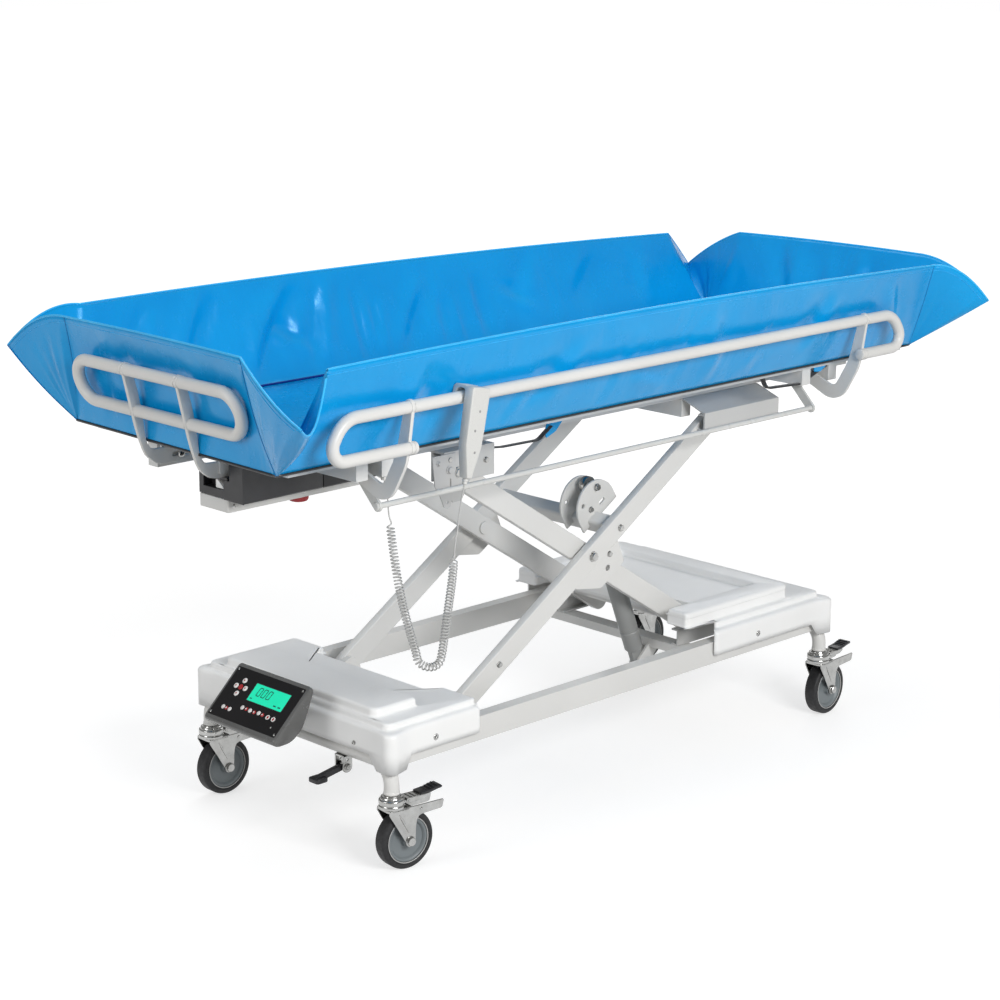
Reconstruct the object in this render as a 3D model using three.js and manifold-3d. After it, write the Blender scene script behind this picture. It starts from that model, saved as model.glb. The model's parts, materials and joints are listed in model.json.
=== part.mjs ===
// A height-adjustable shower trolley: a wheeled base, a scissor lift and a bed with a waterproof basket.
// X runs along the trolley, Y across it and Z up from the floor. The display is at the -X end.
// The near long side is at -Y. All sizes are in millimetres. The bed is modelled near its highest place.

import * as THREE from 'three';
import { mergeVertices } from 'three/addons/utils/BufferGeometryUtils.js';
import Module from 'manifold-3d';

const wasm = await Module();
wasm.setup();

// Fits shared by all pieces
const seatGap = 0.4;
const runningGap = 0.5;
const cutOverrun = 2;
const joinDepth = 1.5;

// Castors, from the floor up
const wheelRadius = 62.5;
const tyreWidth = 32;
const tyreDepth = 15.5;
const tyreClearance = 6;
const castorTrail = 30;
const forkThickness = 3;
const forkSideGap = 5;
const crownThickness = 6;
const cupRadius = 27;
const cupHeight = 27;

// Base frame
const stemSpacingY = 585.4;
const stemLength = 64;
const endTubeRadius = 16;
const endTubeBend = 46;
const endTubeSides = 10;
const sideTubeWidth = 30;
const sideTubeHeight = 52;
const sideTubeDrop = 11;
const tubeWall = 2.5;

// Scissor lift
const armLength = 940;
const armHeight = 50;
const armWidth = 20;
const armAngle = THREE.MathUtils.degToRad(32.5);
const armGap = 8;
const outerArmY = 186;
const hingeX = -400;
const hingeRise = 40;
const pinRadius = 10;
const rollerRadius = 15;
const rollerWidth = 15;
const rollerGap = 0.6;
const trackWall = 4;
const trackGap = 4;

// Places along the trolley that follow the lift: how far each reaches past the arms' rollers or hinge
const baseTrackReach = 187.2;
const bedTrackInset = 58.8;
const bedTrackReach = 205.2;
const trackEndGap = 95.4;
const footTubeGap = 5;
const actuatorFootShare = 0.7128;
const actuatorEyeShare = 0.1543;
const footLugWidth = 34;

// Bed, from the lift's upper hinge up
const trackTopRise = 23;
const padRise = 47;
const longTubeHeight = 54;
const rimTubeWidth = 25;
const rimTubeHeight = 16;
const bedFrameLength = 1910;
const bedFrameWidth = 600;
const basketDepth = 205;
const basketWall = 5;
const basketEndOverhang = 30;
const basketSideOverhang = 28;

// Side rails and the pins that they swing on, from the basket's floor and the bed frame's rim
const railTubeRadius = 12.5;
const railSideReach = 77;
const railRise = 105;
const railStubRise = 25;
const railAxisInset = 75;
const railAxisDrop = 17.5;
const leftRailArmInset = 214;
const rightRailArmInset = 290;

// Heights that follow from the sizes above
const crownTopZ = 2 * wheelRadius + tyreClearance + crownThickness;
const stemBottomZ = crownTopZ + cupHeight;
const endTubeZ = stemBottomZ + stemLength;
const sideTubeBottomZ = endTubeZ - sideTubeDrop;
const sideTubeTopZ = sideTubeBottomZ + sideTubeHeight;
const baseHingeZ = sideTubeBottomZ + hingeRise;
const topHingeZ = baseHingeZ + armLength * Math.sin(armAngle);
const bedTrackTopZ = topHingeZ + trackTopRise;
const bedPadZ = topHingeZ + padRise;
const rimBottomZ = bedPadZ + seatGap + longTubeHeight;
const rimTopZ = rimBottomZ + rimTubeHeight;
const basketFloorZ = rimTopZ + seatGap;
const railTopZ = basketFloorZ + railRise;
const railStubZ = basketFloorZ + railStubRise;
const railAxisZ = rimBottomZ - railAxisDrop;

// Places that follow from the sizes above
const rollerX = hingeX + armLength * Math.cos(armAngle);
const actuatorFootX = hingeX + armLength * actuatorFootShare;
const actuatorEyeAlong = armLength * actuatorEyeShare;
const baseTrackX0 = actuatorFootX + footLugWidth / 2 + footTubeGap;
const baseTrackX1 = rollerX + baseTrackReach;
const bedTrackX0 = rollerX - bedTrackInset;
const bedTrackX1 = rollerX + bedTrackReach;
const stemX = baseTrackX1 + trackEndGap + endTubeRadius;
const stemY = stemSpacingY / 2;
const bedHalfLength = bedFrameLength / 2;
const bedHalfWidth = bedFrameWidth / 2;
const basketHalfLength = bedHalfLength + basketEndOverhang;
const basketHalfWidth = bedHalfWidth + basketSideOverhang;
const railY = basketHalfWidth + railSideReach;
const railAxisY = bedHalfWidth - railAxisInset;
const leftRailArmX = leftRailArmInset - bedHalfLength;
const rightRailArmX = bedHalfLength - rightRailArmInset;
const sideTubeInnerY = stemY - sideTubeWidth;
const outerArmInnerY = outerArmY - armWidth / 2;
const outerArmOuterY = outerArmY + armWidth / 2;
const innerArmY = outerArmY - armWidth - armGap;
const innerArmInnerY = innerArmY - armWidth / 2;
const innerArmOuterY = innerArmY + armWidth / 2;
const armHalf = armLength / 2;

// Colours and finishes
function finish(color, roughness, metalness) {
  return new THREE.MeshStandardMaterial({ color, roughness, metalness });
}
const whitePaint = finish(0xe4e5e3, 0.45, 0.0);
const whitePlastic = finish(0xefefee, 0.4, 0.0);
const greyPaint = finish(0xb9bab8, 0.45, 0.1);
const zincSteel = finish(0xc9c9c4, 0.3, 0.9);
const tyreRubber = finish(0x2b2b2d, 0.7, 0.0);
const hubPlastic = finish(0x7d8285, 0.5, 0.0);
const blackPlastic = finish(0x232427, 0.4, 0.0);
const silverPlastic = finish(0xa9a9a7, 0.35, 0.5);
const screenGlass = finish(0x39dda6, 0.25, 0.0);
const redPlastic = finish(0xb01d24, 0.4, 0.0);
const basketVinyl = finish(0x1f8fd8, 0.35, 0.0);
const handsetPlastic = finish(0xd6d6d3, 0.45, 0.0);
const cordVinyl = finish(0xb5b5b1, 0.5, 0.0);

const trolley = new THREE.Group();
trolley.name = 'shower_trolley';

function piece(name, geometry, material, parent = trolley) {
  const mesh = new THREE.Mesh(geometry, material);
  mesh.name = name;
  parent.add(mesh);
  return mesh;
}

// Closed shapes placed in the trolley's own directions
function box(x0, x1, y0, y1, z0, z1) {
  const geometry = new THREE.BoxGeometry(x1 - x0, y1 - y0, z1 - z0);
  return geometry.translate((x0 + x1) / 2, (y0 + y1) / 2, (z0 + z1) / 2);
}

function outline(points) {
  return new THREE.Shape(points.map(([a, b]) => new THREE.Vector2(a, b)));
}

function extrude(shape, depth, curveSegments) {
  return new THREE.ExtrudeGeometry(shape, { depth, bevelEnabled: false, curveSegments });
}

// A shape drawn in X and Z, extruded from y0 to y1
function alongY(shape, y0, y1, curveSegments = 4) {
  return extrude(shape, y1 - y0, curveSegments).rotateX(Math.PI / 2).translate(0, y1, 0);
}

// A shape drawn in Y and Z, extruded from x0 to x1
function alongX(shape, x0, x1, curveSegments = 4) {
  const turn = new THREE.Matrix4().makeBasis(
    new THREE.Vector3(0, 1, 0),
    new THREE.Vector3(0, 0, 1),
    new THREE.Vector3(1, 0, 0),
  );
  return extrude(shape, x1 - x0, curveSegments).applyMatrix4(turn).translate(x0, 0, 0);
}

// A shape drawn in X and Y, extruded from z0 to z1
function alongZ(shape, z0, z1, curveSegments = 4) {
  return extrude(shape, z1 - z0, curveSegments).translate(0, 0, z0);
}

function rodX(radius, x0, x1, y, z, sides = 12) {
  const geometry = new THREE.CylinderGeometry(radius, radius, x1 - x0, sides);
  return geometry.rotateZ(Math.PI / 2).translate((x0 + x1) / 2, y, z);
}

function rodY(radius, y0, y1, x, z, sides = 12) {
  const geometry = new THREE.CylinderGeometry(radius, radius, y1 - y0, sides);
  return geometry.translate(x, (y0 + y1) / 2, z);
}

function rodZ(radius, z0, z1, x, y, sides = 12) {
  const geometry = new THREE.CylinderGeometry(radius, radius, z1 - z0, sides);
  return geometry.rotateX(Math.PI / 2).translate(x, y, (z0 + z1) / 2);
}

// Revolved about the Y axis, from a profile of radius and place along Y
function revolve(profile, segments) {
  return new THREE.LatheGeometry(profile.map(([r, y]) => new THREE.Vector2(r, y)), segments);
}

function roundedRectangle(x0, x1, y0, y1, radius) {
  const shape = new THREE.Shape();
  shape.moveTo(x0 + radius, y0);
  shape.lineTo(x1 - radius, y0);
  shape.absarc(x1 - radius, y0 + radius, radius, -Math.PI / 2, 0, false);
  shape.lineTo(x1, y1 - radius);
  shape.absarc(x1 - radius, y1 - radius, radius, 0, Math.PI / 2, false);
  shape.lineTo(x0 + radius, y1);
  shape.absarc(x0 + radius, y1 - radius, radius, Math.PI / 2, Math.PI, false);
  shape.lineTo(x0, y0 + radius);
  shape.absarc(x0 + radius, y0 + radius, radius, Math.PI, 1.5 * Math.PI, false);
  return shape;
}

// A round hole whose flat sides all lie outside its radius, so that a pin of that radius turns in it
function roundHole(x, y, radius, sides = 12) {
  const path = new THREE.Path();
  const reach = radius / Math.cos(Math.PI / sides);
  for (let i = 0; i < sides; i += 1) {
    const angle = (-2 * Math.PI * i) / sides;
    const px = x + reach * Math.cos(angle);
    const py = y + reach * Math.sin(angle);
    if (i === 0) path.moveTo(px, py);
    else path.lineTo(px, py);
  }
  path.closePath();
  return path;
}

// Joins and cuts
function solid(geometry) {
  const bare = geometry.clone();
  bare.deleteAttribute('normal');
  bare.deleteAttribute('uv');
  const merged = mergeVertices(bare);
  return new wasm.Manifold(new wasm.Mesh({
    numProp: 3,
    vertProperties: Float32Array.from(merged.attributes.position.array),
    triVerts: Uint32Array.from(merged.index.array),
  }));
}

function geometryOf(manifold) {
  const { vertProperties, triVerts } = manifold.getMesh();
  const geometry = new THREE.BufferGeometry();
  geometry.setAttribute('position', new THREE.BufferAttribute(vertProperties, 3));
  geometry.setIndex(new THREE.BufferAttribute(triVerts, 1));
  geometry.computeVertexNormals();
  return geometry;
}

function join(...geometries) {
  return geometryOf(geometries.map(solid).reduce((whole, part) => whole.add(part)));
}

function cut(geometry, ...tools) {
  return geometryOf(tools.map(solid).reduce((whole, tool) => whole.subtract(tool), solid(geometry)));
}

// A path of straight runs with round bends, with rings only at the ends of runs and round the bends
class BentPath extends THREE.Curve {
  constructor(points, bends, bendSteps) {
    super();
    this.places = [];
    this.directions = [];
    const corners = points.map((point) => new THREE.Vector3(...point));
    this.addRing(corners[0], corners[1].clone().sub(corners[0]).normalize());
    for (let i = 1; i < corners.length - 1; i += 1) {
      this.addBend(corners[i - 1], corners[i], corners[i + 1], bends[i - 1], bendSteps);
    }
    const last = corners[corners.length - 1];
    this.addRing(last, last.clone().sub(corners[corners.length - 2]).normalize());
  }

  addRing(place, direction) {
    this.places.push(place.clone());
    this.directions.push(direction.clone());
  }

  addBend(before, corner, after, radius, bendSteps) {
    const into = corner.clone().sub(before).normalize();
    const out = after.clone().sub(corner).normalize();
    const turn = into.angleTo(out);
    const start = corner.clone().addScaledVector(into, -radius * Math.tan(turn / 2));
    const side = out.clone().addScaledVector(into, -out.dot(into)).normalize();
    const centre = start.clone().addScaledVector(side, radius);
    for (let step = 0; step <= bendSteps; step += 1) {
      const angle = (turn * step) / bendSteps;
      const place = centre.clone();
      place.addScaledVector(side, -radius * Math.cos(angle));
      place.addScaledVector(into, radius * Math.sin(angle));
      const direction = into.clone().multiplyScalar(Math.cos(angle));
      direction.addScaledVector(side, Math.sin(angle));
      this.addRing(place, direction);
    }
  }

  get steps() {
    return this.places.length - 1;
  }

  getPoint(t) {
    return this.places[Math.round(t * this.steps)].clone();
  }

  getTangent(t) {
    return this.directions[Math.round(t * this.steps)].clone();
  }

  getPointAt(u) {
    return this.getPoint(u);
  }

  getTangentAt(u) {
    return this.getTangent(u);
  }
}

function roundSection(radius, sides) {
  const shape = new THREE.Shape();
  for (let i = 0; i < sides; i += 1) {
    const angle = (2 * Math.PI * (i + 0.5)) / sides;
    const x = radius * Math.cos(angle);
    const y = radius * Math.sin(angle);
    if (i === 0) shape.moveTo(x, y);
    else shape.lineTo(x, y);
  }
  shape.closePath();
  return shape;
}

function bentTube(points, bends, radius, sides = 10, bendSteps = 3) {
  const path = new BentPath(points, bends, bendSteps);
  return new THREE.ExtrudeGeometry(roundSection(radius, sides), { steps: path.steps, extrudePath: path });
}

// A tube that closes on itself, with a ring square to each direction; normal is square to the loop's plane
function tubeLoop(places, directions, normal, radius, sideCount = 10) {
  const vertices = [];
  const faces = [];
  places.forEach((place, i) => {
    const across = new THREE.Vector3().crossVectors(directions[i], normal).normalize();
    for (let k = 0; k < sideCount; k += 1) {
      const angle = (2 * Math.PI * k) / sideCount;
      const vertex = place.clone();
      vertex.addScaledVector(normal, radius * Math.cos(angle));
      vertex.addScaledVector(across, radius * Math.sin(angle));
      vertices.push(vertex.x, vertex.y, vertex.z);
    }
  });
  for (let i = 0; i < places.length; i += 1) {
    const here = i * sideCount;
    const ahead = ((i + 1) % places.length) * sideCount;
    for (let k = 0; k < sideCount; k += 1) {
      const side = (k + 1) % sideCount;
      faces.push(here + k, here + side, ahead + side, here + k, ahead + side, ahead + k);
    }
  }
  const geometry = new THREE.BufferGeometry();
  geometry.setAttribute('position', new THREE.Float32BufferAttribute(vertices, 3));
  geometry.setIndex(faces);
  return geometry;
}

// A flat bar of one width with round ends that follows a bent line, drawn in two directions
function flatBar(points, bends, width, endSteps = 4, bendSteps = 3) {
  const path = new BentPath(points.map(([a, b]) => [a, b, 0]), bends, bendSteps);
  const left = [];
  const right = [];
  path.places.forEach((place, i) => {
    const along = path.directions[i];
    const side = new THREE.Vector2(-along.y, along.x).multiplyScalar(width / 2);
    left.push(new THREE.Vector2(place.x + side.x, place.y + side.y));
    right.push(new THREE.Vector2(place.x - side.x, place.y - side.y));
  });
  const shape = new THREE.Shape();
  shape.moveTo(right[0].x, right[0].y);
  right.slice(1).forEach((p) => shape.lineTo(p.x, p.y));
  endCap(shape, path.places.at(-1), path.directions.at(-1), width / 2, endSteps);
  left.reverse().forEach((p) => shape.lineTo(p.x, p.y));
  endCap(shape, path.places[0], path.directions[0].clone().negate(), width / 2, endSteps);
  shape.closePath();
  return shape;
}

function endCap(shape, place, outward, radius, steps) {
  const start = Math.atan2(outward.y, outward.x) - Math.PI / 2;
  for (let step = 1; step < steps; step += 1) {
    const angle = start + (Math.PI * step) / steps;
    shape.lineTo(place.x + radius * Math.cos(angle), place.y + radius * Math.sin(angle));
  }
}

const sides = [
  { name: 'near', y: -1 },
  { name: 'far', y: 1 },
];
const ends = [
  { name: 'left', x: -1 },
  { name: 'right', x: 1 },
];

// A span from one signed place to another, in rising order
function span(sign, inner, outer) {
  return sign > 0 ? [inner, outer] : [-outer, -inner];
}

// Base frame: two bent end tubes, two side tubes and a cross channel that carries the fixed hinge pins
function buildBaseFrame() {
  for (const end of ends) {
    const x = end.x * stemX;
    const points = [[x, -stemY, stemBottomZ], [x, -stemY, endTubeZ], [x, stemY, endTubeZ], [x, stemY, stemBottomZ]];
    const tube = bentTube(points, [endTubeBend, endTubeBend], endTubeRadius, endTubeSides);
    piece(`base_end_tube_${end.name}`, tube, whitePaint);
  }
  const reach = stemX - endTubeRadius - seatGap;
  for (const side of sides) {
    const [y0, y1] = span(side.y, sideTubeInnerY, stemY);
    const section = outline([[y0, sideTubeBottomZ], [y1, sideTubeBottomZ], [y1, sideTubeTopZ], [y0, sideTubeTopZ]]);
    const bore = outline([
      [y0 + tubeWall, sideTubeBottomZ + tubeWall],
      [y0 + tubeWall, sideTubeTopZ - tubeWall],
      [y1 - tubeWall, sideTubeTopZ - tubeWall],
      [y1 - tubeWall, sideTubeBottomZ + tubeWall],
    ]);
    section.holes.push(bore);
    piece(`base_side_tube_${side.name}`, alongX(section, -reach, reach), whitePaint);
  }
  buildHingeChannel();
  buildBaseTracks();
}

const channelWidth = 100;
const channelWall = 4;
const channelFlange = 12;
const hingeLugWidth = 52;
const hingeLugThickness = 15;
const pinHeadRadius = 15;
const pinHeadThickness = 4;

function buildHingeChannel() {
  const x0 = hingeX - channelWidth / 2;
  const x1 = hingeX + channelWidth / 2;
  const z0 = sideTubeBottomZ;
  const reach = sideTubeInnerY - seatGap;
  const section = outline([
    [x0, z0], [x1, z0], [x1, z0 + channelFlange], [x1 - channelWall, z0 + channelFlange],
    [x1 - channelWall, z0 + channelWall], [x0 + channelWall, z0 + channelWall],
    [x0 + channelWall, z0 + channelFlange], [x0, z0 + channelFlange],
  ]);
  const parts = [alongY(section, -reach, reach)];
  const lugOuterY = outerArmInnerY - seatGap;
  const lugInnerY = lugOuterY - hingeLugThickness;
  const headY = outerArmOuterY + seatGap;
  for (const side of sides) {
    const [lug0, lug1] = span(side.y, lugInnerY, lugOuterY);
    const lug = flatBar([[hingeX, z0 + channelWall], [hingeX, baseHingeZ]], [], hingeLugWidth);
    parts.push(cut(alongY(lug, lug0, lug1), box(x0, x1, lug0 - cutOverrun, lug1 + cutOverrun, 0, z0)));
    const [pin0, pin1] = span(side.y, lugInnerY, headY + pinHeadThickness);
    parts.push(rodY(pinRadius, pin0, pin1, hingeX, baseHingeZ));
    const [head0, head1] = span(side.y, headY, headY + pinHeadThickness);
    parts.push(rodY(pinHeadRadius, head0, head1, hingeX, baseHingeZ, 6));
  }
  piece('base_hinge_channel', join(...parts), whitePaint);
}

const crossTubeWidth = 40;
const rollerHalfSpace = rollerRadius + rollerGap;
const trackBottomZ = baseHingeZ - rollerHalfSpace - trackWall;

// A channel on its side, open towards the arm, for a roller whose centre is at z
function trackSection(armOuterY, sign, z) {
  const innerY = armOuterY + trackGap;
  const webY = innerY + rollerWidth + rollerGap;
  const outer = rollerHalfSpace + trackWall;
  const points = [
    [innerY, z - outer], [webY + trackWall, z - outer], [webY + trackWall, z + outer], [innerY, z + outer],
    [innerY, z + rollerHalfSpace], [webY, z + rollerHalfSpace], [webY, z - rollerHalfSpace],
    [innerY, z - rollerHalfSpace],
  ].map(([y, height]) => [sign * y, height]);
  return outline(points);
}

function buildBaseTracks() {
  for (const side of sides) {
    const section = trackSection(innerArmOuterY, side.y, baseHingeZ);
    piece(`base_track_${side.name}`, alongX(section, baseTrackX0, baseTrackX1), greyPaint);
  }
  const reach = sideTubeInnerY - seatGap;
  const top = trackBottomZ - seatGap;
  const middleX1 = baseTrackX0 + crossTubeWidth;
  const middle = box(baseTrackX0, middleX1, -reach, reach, sideTubeBottomZ, top);
  const lugs = actuatorFootLugs(baseTrackX0 + crossTubeWidth / 2);
  piece('base_cross_tube_middle', join(middle, ...lugs), whitePaint);
  const right = box(baseTrackX1 - crossTubeWidth, baseTrackX1, -reach, reach, sideTubeBottomZ, top);
  piece('base_cross_tube_right', right, whitePaint);
}

// Actuator sizes, with its upper eye in the outer arm's own directions from the scissor pivot
const actuatorY = -90;
const actuatorEyeAbove = 60;
const actuatorFootDrop = 37;
const actuatorFootZ = sideTubeBottomZ - actuatorFootDrop;
const actuatorBodyRadius = 22;
const actuatorRodRadius = 11;
const actuatorBodyShare = 0.58;
const actuatorPinRadius = 6;
const eyeRadius = 20;
const eyeWidth = 14;
const eyeClearance = 4;
const lugThickness = 6;

// Two plates that reach from the cross tube to the actuator's foot pin
function actuatorFootLugs(tubeX) {
  const parts = [];
  const inner = eyeWidth / 2 + runningGap;
  const outer = inner + lugThickness;
  const tubeZ = sideTubeBottomZ + channelWall;
  const top = trackBottomZ - seatGap;
  for (const sign of [-1, 1]) {
    const plate = flatBar([[actuatorFootX, actuatorFootZ], [tubeX, tubeZ]], [], footLugWidth);
    const [y0, y1] = span(sign, inner, outer);
    const above = box(actuatorFootX - footLugWidth, tubeX + footLugWidth, y0 - cutOverrun, y1 + cutOverrun,
      top, top + footLugWidth);
    parts.push(cut(alongY(plate, y0, y1), above).translate(0, actuatorY, 0));
  }
  parts.push(rodY(actuatorPinRadius, actuatorY - outer, actuatorY + outer, actuatorFootX, actuatorFootZ));
  return parts;
}

// Castors, each in its own directions: the stem on Z and the wheel trailing towards +X
const wheelSegments = 20;
const axleRadius = 5;
const axleBossRadius = 12;
const nutWidth = 18;
const nutDepth = 4;
const crownFront = 20;
const crownRear = 2;
const cupLip = 3;
const cupLipShares = [0.3, 0.36, 0.62, 0.7];
const tyreProfileShares = [[1, 0.9], [0.5, 1], [0, 0.45]];
const hubOverhang = 3;
const hubBossWall = 7;
const hubWebHalf = 4;
const hubFlange = 7;
const hubFlangeInset = 3;
const pedalWidth = 30;
const pedalReach = 116;
const pedalRise = 11;
const pedalThickness = 8;
const pedalShares = [
  [0, -0.5], [0.14, -0.75], [0.56, -0.62], [0.82, 0.25], [1, 1], [1, 1.75], [0.8, 1.12], [0.5, 0.5], [0.14, 0.62],
  [0, 0.5],
];
const swivelAngles = { left_near: -7.6, left_far: -1.5, right_near: 3.8, right_far: 2 };
const forkInnerY = tyreWidth / 2 + forkSideGap;
const forkOuterY = forkInnerY + forkThickness;

function castorFork() {
  const crownBottomZ = crownTopZ - crownThickness;
  const frontX = -crownFront;
  const rearX = castorTrail + crownRear;
  const leg = new THREE.Shape();
  leg.moveTo(frontX, crownTopZ);
  leg.lineTo(frontX, crownBottomZ);
  leg.lineTo(castorTrail - axleBossRadius, wheelRadius);
  leg.absarc(castorTrail, wheelRadius, axleBossRadius, Math.PI, 2 * Math.PI, false);
  leg.lineTo(rearX, crownBottomZ);
  leg.lineTo(rearX, crownTopZ);
  leg.closePath();
  const lip = cupRadius - cupLip;
  const [lipEnd, wideStart, wideEnd, neckStart] = cupLipShares.map((share) => crownTopZ + share * cupHeight);
  const cup = revolve([
    [0, crownTopZ - joinDepth], [lip, crownTopZ - joinDepth], [lip, lipEnd], [cupRadius, wideStart],
    [cupRadius, wideEnd], [lip, neckStart], [lip, stemBottomZ - seatGap], [0, stemBottomZ - seatGap],
  ], 12).rotateX(Math.PI / 2);
  const crown = box(frontX, rearX, -forkOuterY, forkOuterY, crownBottomZ, crownTopZ);
  const nutY = forkOuterY + nutDepth;
  const nuts = rodY(nutWidth / 2, -nutY, nutY, castorTrail, wheelRadius, 6);
  const wheelSpace = box(frontX, castorTrail + wheelRadius, -forkInnerY, forkInnerY, 0, crownBottomZ);
  const legs = cut(join(alongY(leg, -forkOuterY, forkOuterY), nuts), wheelSpace);
  return join(cup, crown, legs, rodY(axleRadius, -forkOuterY, forkOuterY, castorTrail, wheelRadius, 8));
}

function mirroredProfile(half) {
  return [...half.map(([r, y]) => [r, -y]), ...half.slice().reverse(), [half[0][0], -half[0][1]]];
}

function castorTyre() {
  const half = tyreProfileShares.map(([depth, width]) => [wheelRadius - depth * tyreDepth, width * tyreWidth / 2]);
  return revolve(mirroredProfile(half), wheelSegments).translate(castorTrail, 0, wheelRadius);
}

function castorHub() {
  const bore = (axleRadius + runningGap) / Math.cos(Math.PI / wheelSegments);
  const boss = bore + hubBossWall;
  const half = tyreWidth / 2;
  const rim = wheelRadius - tyreDepth - seatGap;
  return revolve(mirroredProfile([
    [bore, half + hubOverhang], [boss, half + hubOverhang], [boss, hubWebHalf], [rim - hubFlange, hubWebHalf],
    [rim, half - hubFlangeInset],
  ]), wheelSegments).translate(castorTrail, 0, wheelRadius);
}

function castorPedal() {
  const x0 = cupRadius + seatGap;
  const points = pedalShares.map(([along, up]) => [
    x0 + along * (pedalReach - x0), crownTopZ + pedalRise + up * pedalThickness,
  ]);
  return alongY(outline(points), -pedalWidth / 2, pedalWidth / 2);
}

function buildCastors() {
  for (const end of ends) {
    for (const side of sides) {
      const place = `${end.name}_${side.name}`;
      const castor = new THREE.Group();
      castor.position.set(end.x * stemX, side.y * stemY, 0);
      castor.rotation.z = THREE.MathUtils.degToRad(swivelAngles[place]);
      trolley.add(castor);
      piece(`castor_fork_${place}`, castorFork(), zincSteel, castor);
      piece(`castor_tyre_${place}`, castorTyre(), tyreRubber, castor);
      piece(`castor_hub_${place}`, castorHub(), hubPlastic, castor);
      piece(`castor_pedal_${place}`, castorPedal(), blackPlastic, castor);
    }
  }
}

// Covers: thin moulded shells, open underneath, with raised steps on top and a round post over each stem
const coverWall = 3;
const coverSideGap = 9.3;
const coverSkirt = 29;
const ledgeRise = 28;
const ledgeCorner = 18;
const postRadius = 26;
const postLength = 28;
const postTopDrop = 4;
const screwBossRadius = 6;
const screwBossDrop = 8;
const leftScrewInset = 130;
const rightScrewInset = 110;
const leftPadRise = 33;
const leftPadInset = 36;
const leftPadSideInset = 62;
const leftPadInnerInset = 14;
const leftTierShares = [[0, 0], [0.5, 0.42], [1, 1]];
const rightCoverInset = 43;
const rightLedgeReach = 40;
const rightStepInset = 18;
const rightStepRise = 14;
const plateauRise = 48;
const plateauOverhang = 16;
const plateauInset = 35;
const wingLength = 105;
const wingInnerY = 208;
const wingHeight = 34;
const wingRoot = 12;
const mouthReach = 44;
const trayDepth = 14;
const trayInset = 60;
const trayFrontInset = 30;

const coverHalfWidth = stemY + coverSideGap + coverWall;
const coverEndX = stemX + endTubeRadius + seatGap + coverWall;
const leftCoverInnerX = hingeX - channelWidth / 2;
const rightCoverInnerX = baseTrackX0 + rightCoverInset;
const leftScrewX = leftCoverInnerX - leftScrewInset;
const rightScrewX = rightCoverInnerX + rightScrewInset;
const plateauEndX = baseTrackX1 + plateauOverhang;
const plateauHalfWidth = coverHalfWidth - plateauInset;
const wingInnerX = rightCoverInnerX - wingLength;
const coverBottomZ = sideTubeTopZ - coverSkirt;
const postBottomZ = coverBottomZ - postLength;
const ledgeZ = sideTubeTopZ + ledgeRise;
const plateauZ = ledgeZ + plateauRise;
const openingZ = postBottomZ - cutOverrun;

function slab(x0, x1, halfWidth, z0, z1) {
  return alongZ(roundedRectangle(x0, x1, -halfWidth, halfWidth, ledgeCorner), z0, z1, 2);
}

function coverPosts(x, inset) {
  const z0 = inset > 0 ? openingZ : postBottomZ;
  return sides.map((side) => rodZ(postRadius - inset, z0, ledgeZ - postTopDrop - inset, x, side.y * stemY));
}

function screwBosses(x) {
  return sides.map((side) => {
    const [y0, y1] = span(side.y, stemY + seatGap, coverHalfWidth - coverWall / 2);
    return rodY(screwBossRadius, y0, y1, x, sideTubeTopZ - screwBossDrop, 8);
  });
}

// Slots in a cover's inner skirt, which let the side tubes pass
function sideTubeSlots(x0, x1) {
  return sides.map((side) => {
    const [y0, y1] = span(side.y, sideTubeInnerY - coverWall, stemY + coverWall);
    return box(x0, x1, y0, y1, openingZ, sideTubeTopZ + coverWall);
  });
}

function buildLeftCover() {
  const layers = (inset) => leftTierShares.map(([inward, up]) => slab(
    -coverEndX + inward * leftPadInset + inset,
    leftCoverInnerX - inward * leftPadInnerInset - inset,
    coverHalfWidth - inward * leftPadSideInset - inset,
    inset > 0 ? openingZ : coverBottomZ,
    ledgeZ + up * leftPadRise - inset,
  ));
  const outer = join(...layers(0), ...coverPosts(-stemX, 0));
  const opened = cut(
    outer,
    ...layers(coverWall),
    ...coverPosts(-stemX, coverWall),
    ...sideTubeSlots(leftCoverInnerX - 2 * coverWall, leftCoverInnerX + cutOverrun),
  );
  piece('base_cover_left', join(opened, ...screwBosses(leftScrewX)), whitePlastic);
}

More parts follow.
